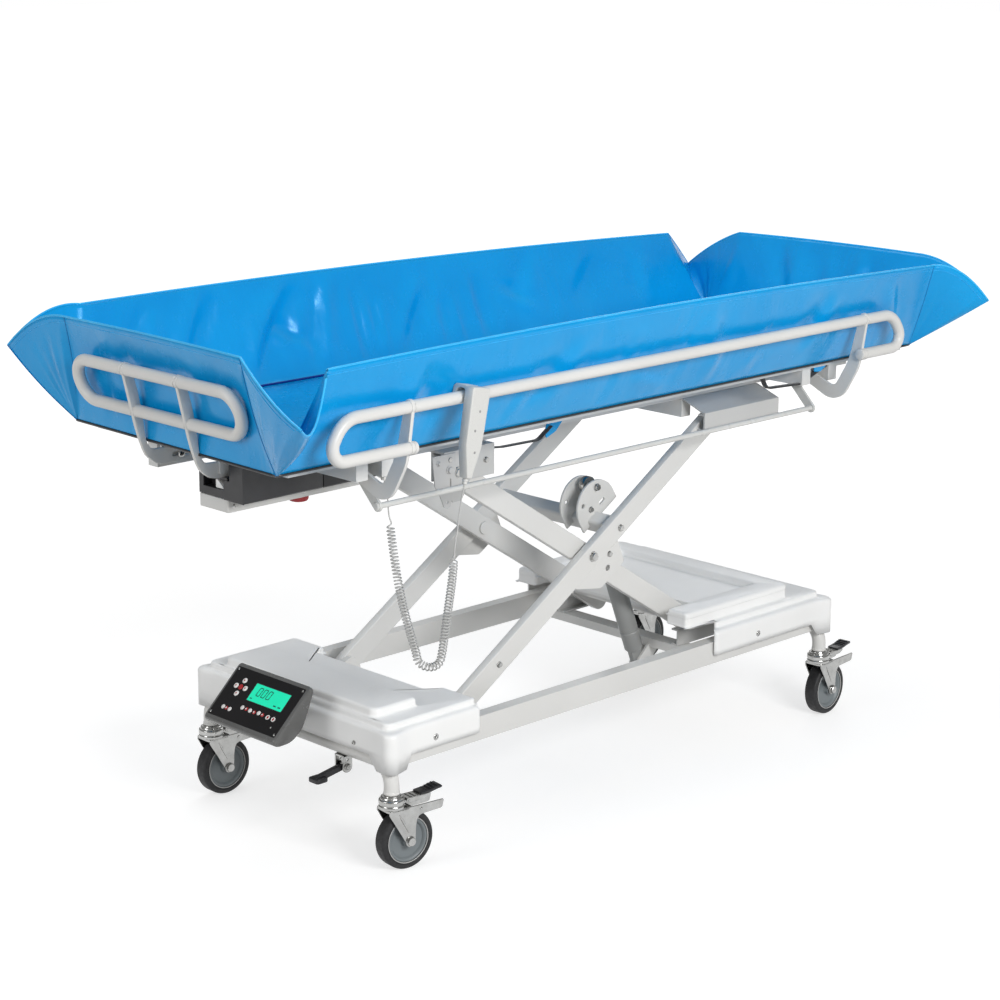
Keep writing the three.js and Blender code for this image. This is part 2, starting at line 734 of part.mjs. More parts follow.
function buildRightCover() {
  const wingBottomZ = plateauZ - wingHeight;
  const layers = (inset) => {
    const z0 = inset > 0 ? openingZ : coverBottomZ;
    return [
      slab(rightCoverInnerX - rightLedgeReach + inset, coverEndX - inset, coverHalfWidth - inset, z0, ledgeZ - inset),
      slab(rightCoverInnerX - rightLedgeReach / 2 + inset, coverEndX - rightStepInset - inset,
        coverHalfWidth - rightStepInset - inset, z0, ledgeZ + rightStepRise - inset),
      slab(rightCoverInnerX + inset, plateauEndX - inset, plateauHalfWidth - inset, z0, plateauZ - inset),
    ];
  };
  const wings = (inset) => sides.map((side) => {
    const [y0, y1] = span(side.y, wingInnerY + inset, plateauHalfWidth - inset);
    const z0 = inset > 0 ? wingBottomZ - cutOverrun : wingBottomZ;
    return box(wingInnerX + inset, rightCoverInnerX + wingRoot, y0, y1, z0, plateauZ - inset);
  });
  const outer = join(...layers(0), ...wings(0), ...coverPosts(stemX, 0));
  const mouthX0 = rightCoverInnerX - mouthReach;
  const armMouth = box(mouthX0, rightCoverInnerX + wingRoot, -wingInnerY, wingInnerY, openingZ,
    plateauZ - coverWall);
  const mouthRoof = box(mouthX0, rightCoverInnerX - seatGap, -wingInnerY, wingInnerY, coverBottomZ,
    plateauZ + cutOverrun);
  const opened = cut(
    outer,
    ...layers(coverWall),
    ...wings(coverWall),
    ...coverPosts(stemX, coverWall),
    armMouth,
    mouthRoof,
    ...sideTubeSlots(mouthX0, rightCoverInnerX),
  );
  const trayX0 = rightCoverInnerX + trayFrontInset;
  const trayX1 = plateauEndX - trayInset;
  const trayHalf = plateauHalfWidth - trayInset;
  const tub = slab(trayX0, trayX1, trayHalf, plateauZ - trayDepth - coverWall, plateauZ - coverWall / 2);
  const recess = slab(trayX0 + coverWall, trayX1 - coverWall, trayHalf - coverWall, plateauZ - trayDepth,
    plateauZ + cutOverrun);
  const shell = cut(join(opened, tub), recess);
  piece('base_cover_right', join(shell, ...screwBosses(rightScrewX)), whitePlastic);
}

// Display: a wedge housing on the left cover's end, with a dark sloping panel and a screen
const displayHalfWidth = 114;
const displayDepth = 93;
const displayHeight = 89;
const displayNeck = 41;
const displayTopRise = 60;
const displayNeckDrop = 14;
const displayBackDrop = 8;
const displayBackDepth = 16;
const displayNoseDrop = 11;
const displayNoseDepth = 6;
const panelThickness = 2.5;
const panelMargin = 6;
const screenThickness = 0.8;
const screenAcrossShares = [0.377, 0.88];
const screenDownShares = [0.23, 0.58];

function buildDisplay() {
  const footX = -coverEndX - seatGap;
  const topX = footX - displayNeck;
  const topZ = ledgeZ + displayTopRise;
  const lowX = topX - displayDepth;
  const lowZ = topZ - displayHeight;
  const slopeLength = Math.hypot(displayDepth, displayHeight);
  const side = outline([
    [topX, topZ], [lowX, lowZ], [lowX + displayNoseDepth, lowZ - displayNoseDrop],
    [footX, lowZ - 2 * displayNoseDrop], [footX, ledgeZ - displayNeckDrop],
    [topX + displayBackDepth, topZ - displayBackDrop],
  ]);
  const desk = new THREE.Group();
  desk.position.set(lowX, 0, lowZ);
  desk.rotation.y = -Math.atan2(displayHeight, displayDepth);
  trolley.add(desk);
  desk.updateMatrixWorld();
  const recess = box(panelMargin, slopeLength - panelMargin, -displayHalfWidth + panelMargin,
    displayHalfWidth - panelMargin, -panelThickness, cutOverrun).applyMatrix4(desk.matrixWorld);
  piece('display_housing', cut(alongY(side, -displayHalfWidth, displayHalfWidth), recess), silverPlastic);
  const [left, right] = screenAcrossShares.map((share) => displayHalfWidth - share * 2 * displayHalfWidth);
  const [top, bottom] = screenDownShares.map((share) => slopeLength * (1 - share));
  const edge = panelMargin + seatGap;
  const panel = box(edge, slopeLength - edge, -displayHalfWidth + edge, displayHalfWidth - edge,
    -panelThickness + seatGap, seatGap);
  const window = box(bottom, top, right, left, seatGap - screenThickness, cutOverrun);
  piece('display_panel', cut(panel, window), blackPlastic, desk);
  const screen = box(bottom + seatGap, top - seatGap, right + seatGap, left - seatGap,
    2 * seatGap - screenThickness, seatGap);
  piece('display_screen', screen, screenGlass, desk);
}

// Foot lever at the left end, on a bracket under the end tube
const footLeverY = -146;
const footLeverDrop = 42;
const footLeverReach = 76;
const footLeverWidth = 14;
const footLeverThickness = 12;
const footLeverFall = 12;
const footBracketWidth = 26;
const footBracketWall = 4;
const footPinRadius = 4;
const toeLength = 30;
const toeWidth = 32;
const footLeverZ = endTubeZ - footLeverDrop;

function buildFootLever() {
  const x = -stemX;
  const top = endTubeZ - endTubeRadius * Math.cos(Math.PI / endTubeSides) - seatGap;
  const half = footBracketWidth / 2;
  const cheek = flatBar([[x, footLeverZ], [x, top + half]], [], footBracketWidth);
  const trim = box(x - footBracketWidth, x + footBracketWidth, footLeverY - footBracketWidth,
    footLeverY + footBracketWidth, top, top + 2 * footBracketWidth);
  const cheeks = [-1, 1].map((sign) => {
    const [y0, y1] = span(sign, half - footBracketWall, half);
    return cut(alongY(cheek, footLeverY + y0, footLeverY + y1), trim);
  });
  const bridge = box(x - half, x + half, footLeverY - half, footLeverY + half, top - footBracketWall, top);
  const pin = rodY(footPinRadius, footLeverY - half, footLeverY + half, x, footLeverZ, 8);
  piece('foot_lever_bracket', join(...cheeks, bridge, pin), zincSteel);
  const toeX = x - footLeverReach;
  const toeZ = footLeverZ - footLeverFall;
  const lever = flatBar([[x, footLeverZ], [x - footLeverReach / 3, footLeverZ - footLeverFall / 3], [toeX, toeZ]],
    [footLeverThickness], footLeverThickness);
  lever.holes.push(roundHole(x, footLeverZ, footPinRadius + seatGap, 8));
  const bar = alongY(lever, footLeverY - footLeverWidth / 2, footLeverY + footLeverWidth / 2);
  const toe = box(toeX - toeLength / 4, toeX + 3 * toeLength / 4, footLeverY - toeWidth / 2,
    footLeverY + toeWidth / 2, toeZ - footLeverThickness / 2, toeZ + footLeverThickness / 3);
  piece('foot_lever', join(bar, toe), blackPlastic);
}

// Scissor arms. The outer pair stands on the base's left hinge, the inner pair hangs from the bed's left hinge
const boltHeadRadius = 10;
const boltHeadThickness = 5;
const gussetLength = 160;
const gussetBottomShares = [-0.125, 0.42];
const gussetDrop = 54;
const gussetThickness = 4;
const liftTubeSize = 36;
const liftTubeCorner = 9;
const liftTubeSetback = 45;
const liftTubeDrop = 5;
const liftLugRadius = 62;
const liftLugRise = 25;
const innerTubeInset = 94;
const outerArms = new THREE.Group();
const innerArms = new THREE.Group();

function armShape() {
  const shape = flatBar([[0, 0], [armLength, 0]], [], armHeight, 6);
  shape.holes.push(roundHole(0, 0, pinRadius + seatGap));
  return shape;
}

// A roller and its stub axle on the outer face of an arm, at the arm's free end
function roller(sign, armOuterY) {
  const discY = armOuterY + trackGap;
  const [axle0, axle1] = span(sign, armOuterY - joinDepth, discY + joinDepth);
  const [disc0, disc1] = span(sign, discY, discY + rollerWidth - rollerGap);
  return [rodY(pinRadius, axle0, axle1, armLength, 0), rodY(rollerRadius, disc0, disc1, armLength, 0, 16)];
}

function buildOuterArms() {
  outerArms.position.set(hingeX, 0, baseHingeZ);
  outerArms.rotation.y = -armAngle;
  trolley.add(outerArms);
  const gussetTop = -armHeight / 2 + joinDepth;
  const gussetBottom = -armHeight / 2 - gussetDrop;
  const [gussetLow0, gussetLow1] = gussetBottomShares.map((share) => armHalf + share * gussetLength);
  const gusset = outline([
    [armHalf - gussetLength / 2, gussetTop], [gussetLow0, gussetBottom], [gussetLow1, gussetBottom],
    [armHalf + gussetLength / 2, gussetTop],
  ]);
  for (const side of sides) {
    const [arm0, arm1] = span(side.y, outerArmInnerY, outerArmOuterY);
    const [plate0, plate1] = span(side.y, outerArmOuterY - gussetThickness, outerArmOuterY);
    const capOuter = innerArmInnerY - seatGap;
    const [cap0, cap1] = span(side.y, capOuter - pinHeadThickness, capOuter);
    const [pin0, pin1] = span(side.y, capOuter - pinHeadThickness, outerArmInnerY + joinDepth);
    const [head0, head1] = span(side.y, outerArmOuterY - joinDepth, outerArmOuterY + boltHeadThickness);
    piece(`scissor_outer_arm_${side.name}`, join(
      alongY(armShape(), arm0, arm1),
      alongY(gusset, plate0, plate1),
      rodY(pinRadius, pin0, pin1, armHalf, 0),
      rodY(pinHeadRadius, cap0, cap1, armHalf, 0),
      rodY(boltHeadRadius, head0, head1, armHalf, 0, 8),
      ...roller(side.y, outerArmOuterY),
    ), whitePaint, outerArms);
  }
  buildOuterCrossTube();
}

function liftTube(x, z, reach) {
  const half = liftTubeSize / 2;
  return alongY(roundedRectangle(x - half, x + half, z - half, z + half, liftTubeCorner), -reach, reach, 1);
}

// The tube between the outer arms, with the two half-round plates that hold the actuator's upper pin
function buildOuterCrossTube() {
  const eyeX = armHalf + actuatorEyeAlong;
  const x = eyeX - liftTubeSetback;
  const parts = [liftTube(x, -liftTubeDrop, outerArmInnerY - seatGap)];
  const inner = actuatorBodyRadius + runningGap;
  const outer = inner + lugThickness;
  const plateX = (x + eyeX) / 2;
  const plate = new THREE.Shape();
  plate.moveTo(plateX - liftLugRadius, -liftTubeDrop);
  plate.lineTo(plateX + liftLugRadius, -liftTubeDrop);
  plate.absarc(plateX, liftLugRise - liftTubeDrop, liftLugRadius, 0, Math.PI, false);
  plate.closePath();
  for (const sign of [-1, 1]) {
    const [y0, y1] = span(sign, inner, outer);
    parts.push(alongY(plate, actuatorY + y0, actuatorY + y1, 6));
  }
  const pinReach = outer + lugThickness;
  parts.push(rodY(actuatorPinRadius, actuatorY - pinReach, actuatorY + pinReach, eyeX, actuatorEyeAbove));
  piece('scissor_outer_cross_tube', join(...parts), whitePaint, outerArms);
}

function buildInnerArms() {
  innerArms.position.set(hingeX, 0, topHingeZ);
  innerArms.rotation.y = armAngle;
  trolley.add(innerArms);
  for (const side of sides) {
    const [y0, y1] = span(side.y, innerArmInnerY, innerArmOuterY);
    const shape = armShape();
    shape.holes.push(roundHole(armHalf, 0, pinRadius + seatGap));
    const arm = join(alongY(shape, y0, y1), ...roller(side.y, innerArmOuterY));
    piece(`scissor_inner_arm_${side.name}`, arm, whitePaint, innerArms);
  }
  const tube = liftTube(armLength - innerTubeInset, 0, innerArmInnerY - seatGap);
  piece('scissor_inner_cross_tube', tube, whitePaint, innerArms);
}

// Actuator between the base's foot pin and the outer cross tube's eye pin
const barrelStart = 40;
const barrelShoulder = 5;
const barrelTaper = 40;
const boreFloor = 14;
const rodEngagement = 48;

function buildActuator() {
  const cos = Math.cos(armAngle);
  const sin = Math.sin(armAngle);
  const along = armHalf + actuatorEyeAlong;
  const topX = hingeX + along * cos - actuatorEyeAbove * sin;
  const topZ = baseHingeZ + along * sin + actuatorEyeAbove * cos;
  const length = Math.hypot(topX - actuatorFootX, topZ - actuatorFootZ);
  const bodyEnd = length * actuatorBodyShare;
  const actuator = new THREE.Group();
  actuator.position.set(actuatorFootX, actuatorY, actuatorFootZ);
  actuator.rotation.y = -Math.atan2(topZ - actuatorFootZ, topX - actuatorFootX);
  trolley.add(actuator);
  const footEyeRadius = footLugWidth / 2 - runningGap;
  const footEye = flatBar([[0, 0], [barrelStart, 0]], [], 2 * footEyeRadius, 6);
  footEye.holes.push(roundHole(0, 0, actuatorPinRadius + seatGap));
  const barrel = revolve([
    [0, barrelStart], [actuatorBodyRadius - barrelShoulder, barrelStart],
    [actuatorBodyRadius, barrelStart + barrelShoulder], [actuatorBodyRadius, bodyEnd - barrelTaper],
    [actuatorRodRadius + barrelShoulder, bodyEnd], [0, bodyEnd],
  ], 12).rotateZ(-Math.PI / 2);
  const boreStart = barrelStart + boreFloor;
  const boreRadius = (actuatorRodRadius + runningGap) / Math.cos(Math.PI / 12);
  const bore = rodX(boreRadius, boreStart, bodyEnd + cutOverrun, 0, 0);
  const body = join(alongY(footEye, -eyeWidth / 2, eyeWidth / 2), barrel);
  piece('actuator_body', cut(body, bore), greyPaint, actuator);
  const rodEye = new THREE.Shape();
  rodEye.absarc(length, 0, eyeRadius, 0, 2 * Math.PI, false);
  rodEye.holes.push(roundHole(length, 0, actuatorPinRadius + eyeClearance, 8));
  const rod = rodX(actuatorRodRadius, bodyEnd - rodEngagement, length - eyeRadius + joinDepth, 0, 0);
  piece('actuator_rod', join(alongY(rodEye, -eyeWidth / 2, eyeWidth / 2, 6), rod), zincSteel, actuator);
}

// Bed tracks with sloped pads above them, and a cross tube between the pads
const padThickness = 3;
const padSlopeY = 155;
const padInnerY = 118;
const bedCrossTubeWidth = 30;
const bedCrossTubeHeight = 40;
const bedCrossTubeInset = 5;

function buildBedTracks() {
  const webOuter = outerArmOuterY + trackGap + rollerWidth + rollerGap + trackWall;
  const trackTop = topHingeZ + rollerHalfSpace;
  for (const side of sides) {
    const track = alongX(trackSection(outerArmOuterY, side.y, topHingeZ), bedTrackX0, bedTrackX1);
    const pad = outline([
      [webOuter, trackTop], [webOuter, bedTrackTopZ], [padSlopeY, bedPadZ], [padInnerY, bedPadZ],
      [padInnerY, bedPadZ - padThickness], [padSlopeY, bedPadZ - padThickness],
      [webOuter - trackWall, bedTrackTopZ - padThickness], [webOuter - trackWall, trackTop],
    ].map(([y, z]) => [side.y * y, z]));
    piece(`bed_track_${side.name}`, join(track, alongX(pad, bedTrackX0, bedTrackX1)), greyPaint);
  }
  const reach = padSlopeY - bedCrossTubeInset;
  const top = bedPadZ - padThickness - seatGap;
  const tube = box(bedTrackX0, bedTrackX0 + bedCrossTubeWidth, -reach, reach, top - bedCrossTubeHeight, top);
  piece('bed_cross_tube', tube, whitePaint);
}

// Hanging brackets that hold the inner arms' fixed hinge pins
const bracketWidth = 74;
const bracketDrop = 62;
const bracketWing = 70;
const bracketShoulder = 20;
const bracketPlate = 5;
const bracketArmGap = 5;

function buildBedBrackets() {
  const x0 = hingeX - bracketWidth / 2;
  const x1 = hingeX + bracketWidth / 2;
  const shoulderZ = topHingeZ - bracketShoulder;
  const bottomZ = topHingeZ - bracketDrop;
  const outerFace = innerArmOuterY + bracketArmGap;
  const innerFace = innerArmInnerY - bracketArmGap;
  const outerPlate = outline([
    [x0, bedPadZ], [x0, shoulderZ], [hingeX - bracketWidth / 6, bottomZ], [hingeX + bracketWidth / 6, bottomZ],
    [x1, shoulderZ], [x1 + bracketWing, shoulderZ], [x1 + bracketWing, bedPadZ],
  ]);
  const innerPlate = outline([[x0, bedPadZ], [x0, shoulderZ], [x1, shoulderZ], [x1, bedPadZ]]);
  for (const side of sides) {
    const [outer0, outer1] = span(side.y, outerFace, outerFace + bracketPlate);
    const [inner0, inner1] = span(side.y, innerFace - bracketPlate, innerFace);
    const [cap0, cap1] = span(side.y, padInnerY, outerFace + bracketPlate);
    const [pin0, pin1] = span(side.y, innerFace - joinDepth, outerFace + bracketPlate + boltHeadThickness);
    piece(`bed_bracket_${side.name}`, join(
      alongY(outerPlate, outer0, outer1),
      alongY(innerPlate, inner0, inner1),
      box(x0, x1 + bracketWing, cap0, cap1, bedPadZ - bracketPlate, bedPadZ),
      rodY(pinRadius, pin0, pin1, hingeX, topHingeZ),
    ), greyPaint);
  }
}

// Bed frame: a rim under the basket, two long tubes, twin cross bars that hold the rail pins, and end lugs
const longTubeY = 135;
const longTubeWidth = 30;
const barWidth = 30;
const barHeight = 37;
const leftBarOuter = 44;
const leftBarInner = 22;
const rightBarInner = 85;
const rightBarOuter = 12;
const leftBarsX = [leftRailArmX - leftBarOuter, leftRailArmX + leftBarInner];
const rightBarsX = [rightRailArmX - rightBarInner, rightRailArmX + rightBarOuter];
const railPinRadius = 6;
const endArmY = 85;
const endArmThickness = 8;
const endArmDrop = 15.5;
const endLugLength = 52;
const endLugHeight = 28;
const slotPinRadius = 5;
const slotPinInset = 40;
const glandInset = 44;
const glandSideInset = 17;
const glandRadius = 7;
const glandLength = 12;
const glandX = leftRailArmX + glandInset;
const glandY = glandSideInset - bedHalfWidth;
const barBottomZ = rimBottomZ - barHeight;
const endArmZ = rimBottomZ - endArmDrop;
const slotPinX = bedHalfLength - slotPinInset;

function buildBedFrame() {
  const parts = [];
  const innerLength = bedHalfLength - rimTubeWidth;
  const innerWidth = bedHalfWidth - rimTubeWidth;
  const rim = outline([
    [-bedHalfLength, -bedHalfWidth], [bedHalfLength, -bedHalfWidth], [bedHalfLength, bedHalfWidth],
    [-bedHalfLength, bedHalfWidth],
  ]);
  rim.holes.push(outline([
    [-innerLength, -innerWidth], [-innerLength, innerWidth], [innerLength, innerWidth], [innerLength, -innerWidth],
  ]));
  parts.push(alongZ(rim, rimBottomZ, rimTopZ));
  const longReach = bedHalfLength - rimTubeWidth / 2;
  for (const side of sides) {
    const [y0, y1] = span(side.y, longTubeY - longTubeWidth / 2, longTubeY + longTubeWidth / 2);
    parts.push(box(-longReach, longReach, y0, y1, bedPadZ + seatGap, rimBottomZ + joinDepth));
    for (const bars of [leftBarsX, rightBarsX]) {
      parts.push(rodX(railPinRadius, bars[0] + joinDepth, bars[1] + joinDepth, side.y * railAxisY, railAxisZ, 8));
    }
  }
  for (const x of [...leftBarsX, ...rightBarsX]) {
    parts.push(box(x, x + barWidth, -bedHalfWidth, bedHalfWidth, barBottomZ, rimBottomZ + joinDepth));
  }
  const lugFace = endArmY + endArmThickness / 2 + runningGap;
  for (const end of ends) {
    for (const side of sides) {
      const [lug0, lug1] = span(side.y, lugFace, lugFace + lugThickness);
      const [lugX0, lugX1] = span(end.x, bedHalfLength - joinDepth - endLugLength, bedHalfLength - joinDepth);
      parts.push(box(lugX0, lugX1, lug0, lug1, rimBottomZ - endLugHeight, rimBottomZ + joinDepth));
      const [pin0, pin1] = span(side.y, endArmY - endArmThickness, lugFace + joinDepth);
      parts.push(rodY(slotPinRadius, pin0, pin1, end.x * slotPinX, endArmZ, 8));
    }
  }
  parts.push(rodZ(glandRadius, barBottomZ - glandLength, barBottomZ + joinDepth, glandX, glandY, 8));
  piece('bed_frame', join(...parts), whitePaint);
}

// Control box under the left half, with a dark cover and a red knob below
const controlInset = 15;
const controlLength = 380;
const controlShelfLength = 40;
const controlY0 = -100;
const controlWidth = 90;
const controlHeight = 71;
const controlBeamHeight = 27;
const controlShelfDrop = 20;
const socketDepth = 22;
const socketInset = 16;
const socketDrop = 8;
const socketHeight = 18;
const knobInset = 215;
const knobRadius = 20;
const knobHeight = 14;
const knobTravel = 5;
const stemSides = 12;

function buildControls() {
  const controlX0 = controlInset - bedHalfLength;
  const top = barBottomZ - seatGap;
  const bottom = top - controlHeight;
  const seam = bottom + controlBeamHeight;
  const controlX1 = controlX0 + controlLength;
  const controlY1 = controlY0 + controlWidth;
  const shelfX = controlX1 - controlShelfLength;
  const beam = box(controlX0, controlX1, controlY0, controlY1, bottom, seam);
  const shelf = box(shelfX + seatGap, controlX1, controlY0, controlY1, seam - joinDepth, top - controlShelfDrop);
  const knobX = controlX0 + knobInset;
  const knobY = controlY0 + controlWidth / 2;
  const stemReach = (knobRadius / 2 + runningGap) / Math.cos(Math.PI / stemSides);
  const stemHole = rodZ(stemReach, bottom - cutOverrun, bottom + knobTravel + seatGap, knobX, knobY, stemSides);
  piece('control_box', cut(join(beam, shelf), stemHole), whitePaint);
  const cover = box(controlX0, shelfX, controlY0, controlY1, seam + seatGap, top);
  const socket = box(controlX0 - cutOverrun, controlX0 + socketDepth, controlY0 + socketInset,
    controlY1 - socketInset, top - socketDrop - socketHeight, top - socketDrop);
  piece('control_cover', cut(cover, socket), blackPlastic);
  const knobTop = bottom - seatGap;
  const headTop = knobTop - knobTravel;
  const stem = rodZ(knobRadius / 2, headTop - joinDepth, knobTop, knobX, knobY, stemSides);
  const head = rodZ(knobRadius, headTop - knobHeight, headTop, knobX, knobY, 16);
  piece('stop_knob', join(stem, head), redPlastic);
}

// Basket: flat floor and leaning walls of welded vinyl, with a corner fold between each two walls
const basketEndLean = 55;
const basketSideLean = 75;
const basketEndRimInset = 46;
const basketSideRimInset = 55;
const basketTipEndReach = 59;
const basketTipSideReach = 154;
const basketTipDrop = 82;
const basketEndRimY = basketHalfWidth - basketEndRimInset;

// The outward direction of the face through three places that turn anticlockwise as seen from outside
function faceDirection(a, b, c) {
  return b.clone().sub(a).cross(c.clone().sub(a)).normalize();
}

// A place moved in by the wall from each of three faces
function insetPlace(place, directions, walls) {
  const [a, b, c] = directions;
  const rows = new THREE.Matrix3().set(a.x, a.y, a.z, b.x, b.y, b.z, c.x, c.y, c.z);
  return place.clone().add(new THREE.Vector3(...walls).negate().applyMatrix3(rows.invert()));
}

// A corner's four places, outside and inside, for the corner at +X and +Y
function basketCorner() {
  const rimZ = basketFloorZ + basketDepth;
  const floor = new THREE.Vector3(basketHalfLength, basketHalfWidth, basketFloorZ);
  const end = new THREE.Vector3(basketHalfLength + basketEndLean, basketEndRimY, rimZ);
  const tip = new THREE.Vector3(
    basketHalfLength + basketTipEndReach,
    basketHalfWidth + basketTipSideReach,
    rimZ - basketTipDrop,
  );
  const side = new THREE.Vector3(
    basketHalfLength - basketSideRimInset,
    basketHalfWidth + basketSideLean,
    rimZ,
  );
  const down = new THREE.Vector3(0, 0, -1);
  const endWall = new THREE.Vector3(basketDepth, 0, -basketEndLean).normalize();
  const sideWall = new THREE.Vector3(0, basketDepth, -basketSideLean).normalize();
  const endFold = faceDirection(floor, tip, end);
  const sideFold = faceDirection(floor, side, tip);
  const wall = basketWall;
  return {
    outside: { floor, end, tip, side },
    inside: {
      floor: insetPlace(floor, [endWall, sideWall, down], [wall, wall, wall]),
      end: insetPlace(end, [endWall, endFold, down], [wall, wall, 0]),
      tip: insetPlace(tip, [endFold, sideFold, down], [wall, wall, 0]),
      side: insetPlace(side, [sideWall, sideFold, down], [wall, wall, 0]),
    },
  };
}

function buildBasket() {
  const corner = basketCorner();
  const turn = [[-1, -1], [1, -1], [1, 1], [-1, 1]];
  const skin = (places) => {
    const corners = turn.map(([sx, sy]) => {
      const mirrored = ({ x, y, z }) => [sx * x, sy * y, z];
      return {
        floor: mirrored(places.floor),
        end: mirrored(places.end),
        tip: mirrored(places.tip),
        side: mirrored(places.side),
      };
    });
    const rim = corners.flatMap((c, i) => (i % 2 === 0 ? [c.end, c.tip, c.side] : [c.side, c.tip, c.end]));
    return [...corners.map((c) => c.floor), ...rim];
  };
  const places = [...skin(corner.outside), ...skin(corner.inside)];
  const floorCount = turn.length;
  const rimCount = 3 * floorCount;
  const skinCount = floorCount + rimCount;
  const faces = [];
  const addSkin = (start, inward) => {
    const put = (...list) => faces.push(...(inward ? list.reverse() : list));
    const rim = start + floorCount;
    for (let i = 0; i < floorCount; i += 1) {
      const floorHere = start + i;
      const floorNext = start + ((i + 1) % floorCount);
      const here = rim + 3 * i;
      const next = rim + ((3 * i + 3) % rimCount);
      put(floorHere, here + 1, here);
      put(floorHere, here + 2, here + 1);
      put(floorHere, floorNext, next);
      put(floorHere, next, here + 2);
    }
    put(start, start + 2, start + 1);
    put(start, start + 3, start + 2);
  };
  addSkin(0, false);
  addSkin(skinCount, true);
  for (let i = 0; i < rimCount; i += 1) {
    const here = floorCount + i;
    const next = floorCount + ((i + 1) % rimCount);
    faces.push(here, next, skinCount + next, here, skinCount + next, skinCount + here);
  }
  const geometry = new THREE.BufferGeometry();
  geometry.setAttribute('position', new THREE.Float32BufferAttribute(places.flat(), 3));
  geometry.setIndex(faces);
  geometry.computeVertexNormals();
  piece('basket', geometry, basketVinyl);
}

// Side rails: a bent tube on two flat arms that swing down about pins under the bed
const railLeftReach = 217;
const railRightReach = 160;
const railLean = 52;
const railLowBend = 28;
const railHighBend = 60;
const railArmThickness = 8;
const railArmWidth = 30;
const railArmKneeShare = 0.12;
const railArmFootShare = 0.38;
const railArmFootDrop = 49;
const railArmKneeBend = 120;
const railArmFootBend = 34;

function railArmBar(sign) {
  const reach = railY - railAxisY;
  const points = [
    [railY, railTopZ], [railY - railArmKneeShare * reach, basketFloorZ],
    [railY - railArmFootShare * reach, railAxisZ - railArmFootDrop], [railAxisY, railAxisZ],
  ];
  const shape = flatBar(points.map(([y, z]) => [sign * y, z]), [railArmKneeBend, railArmFootBend], railArmWidth);
  shape.holes.push(roundHole(sign * railAxisY, railAxisZ, railPinRadius + seatGap, 8));
  return shape;
}

function buildSideRails() {
  const railLeftX = leftRailArmX - railLeftReach;
  const railRightX = rightRailArmX + railRightReach;
  for (const side of sides) {
    const y = side.y * railY;
    const path = [
      [leftRailArmX, y, railStubZ], [railLeftX, y, railStubZ], [railLeftX + railLean, y, railTopZ],
      [railRightX - railLean, y, railTopZ], [railRightX, y, railStubZ], [rightRailArmX, y, railStubZ],
    ];
    const bends = [railLowBend, railHighBend, railHighBend, railLowBend];
    const arms = [leftRailArmX, rightRailArmX].map((x) => alongX(
      railArmBar(side.y),
      x - railArmThickness / 2,
      x + railArmThickness / 2,
    ));
    piece(`side_rail_${side.name}`, join(bentTube(path, bends, railTubeRadius), ...arms), whitePaint);
  }
}

// Release rods: a thin rod on two small levers about the same pins
const releaseRodRadius = 6;
const releaseReach = 75;
const releaseDrop = 76;
const leverThickness = 6;
const leverWidth = 22;
const leverGap = 4;

function buildReleaseRods() {
  const leftX = leftRailArmX + railArmThickness / 2 + leverGap;
  const rightX = rightBarsX[0] + barWidth + leverGap;
  for (const side of sides) {
    const y = side.y * (railAxisY + releaseReach);
    const z = railAxisZ - releaseDrop;
    const lever = flatBar([[y, z], [side.y * railAxisY, railAxisZ]], [], leverWidth);
    lever.holes.push(roundHole(side.y * railAxisY, railAxisZ, railPinRadius + seatGap, 8));
    piece(`release_rod_${side.name}`, join(
      alongX(lever, leftX, leftX + leverThickness),
      alongX(lever, rightX, rightX + leverThickness),
      rodX(releaseRodRadius, leftX, rightX + leverThickness, y, z, 8),
    ), zincSteel);
  }
}

// End rails: a tube loop on two flat arms whose slots slide on pins under the bed
const endRailInset = 27;
const endRailBottomRise = 62;
const endRailHeight = 85;
const endRailLeanShare = 0.275;
const endArmReach = 35;
const endArmWidth = 24;
const endArmBend = 36;
const slotTravel = 30;
const slotInset = 5;
const endRailBendSteps = 6;

function buildEndRails() {
  const bottomZ = basketFloorZ + endRailBottomRise;
  const topZ = bottomZ + endRailHeight;
  const bend = endRailHeight / 2;
  const halfLength = basketEndRimY - endRailInset;
  const endArmFootX = bedHalfLength + endArmReach;
  const leanAt = (z) => endArmFootX + (z - endArmZ) * endRailLeanShare;
  const armInnerX = slotPinX - slotTravel - slotPinRadius - slotInset;
  const slotHalf = slotPinRadius + runningGap;
  for (const end of ends) {
    const slope = end.x * endRailLeanShare;
    const places = [];
    const directions = [];
    for (const side of sides) {
      for (let i = 0; i <= endRailBendSteps; i += 1) {
        const turn = Math.PI * (i / endRailBendSteps - 0.5);
        const out = side.y * Math.cos(turn);
        const up = side.y * Math.sin(turn);
        const z = bottomZ + bend + bend * up;
        places.push(new THREE.Vector3(end.x * leanAt(z), side.y * (halfLength - bend) + bend * out, z));
        directions.push(new THREE.Vector3(slope * out, -up, out).normalize());
      }
    }
    const loop = tubeLoop(places, directions, new THREE.Vector3(1, 0, -slope).normalize(), railTubeRadius);
    const arm = flatBar([
      [end.x * leanAt(topZ), topZ], [end.x * endArmFootX, endArmZ], [end.x * armInnerX, endArmZ],
    ], [endArmBend], endArmWidth);
    const slot = new THREE.Path();
    const [slotX0, slotX1] = span(end.x, slotPinX - slotTravel, slotPinX);
    slot.moveTo(slotX0, endArmZ - slotHalf);
    slot.absarc(slotX0, endArmZ, slotHalf, -Math.PI / 2, Math.PI / 2, true);
    slot.absarc(slotX1, endArmZ, slotHalf, Math.PI / 2, -Math.PI / 2, true);
    arm.holes.push(slot);
    const arms = sides.map((side) => alongY(
      arm,
      side.y * endArmY - endArmThickness / 2,
      side.y * endArmY + endArmThickness / 2,
    ));
    piece(`end_rail_${end.name}`, join(loop, ...arms), whitePaint);
  }
}

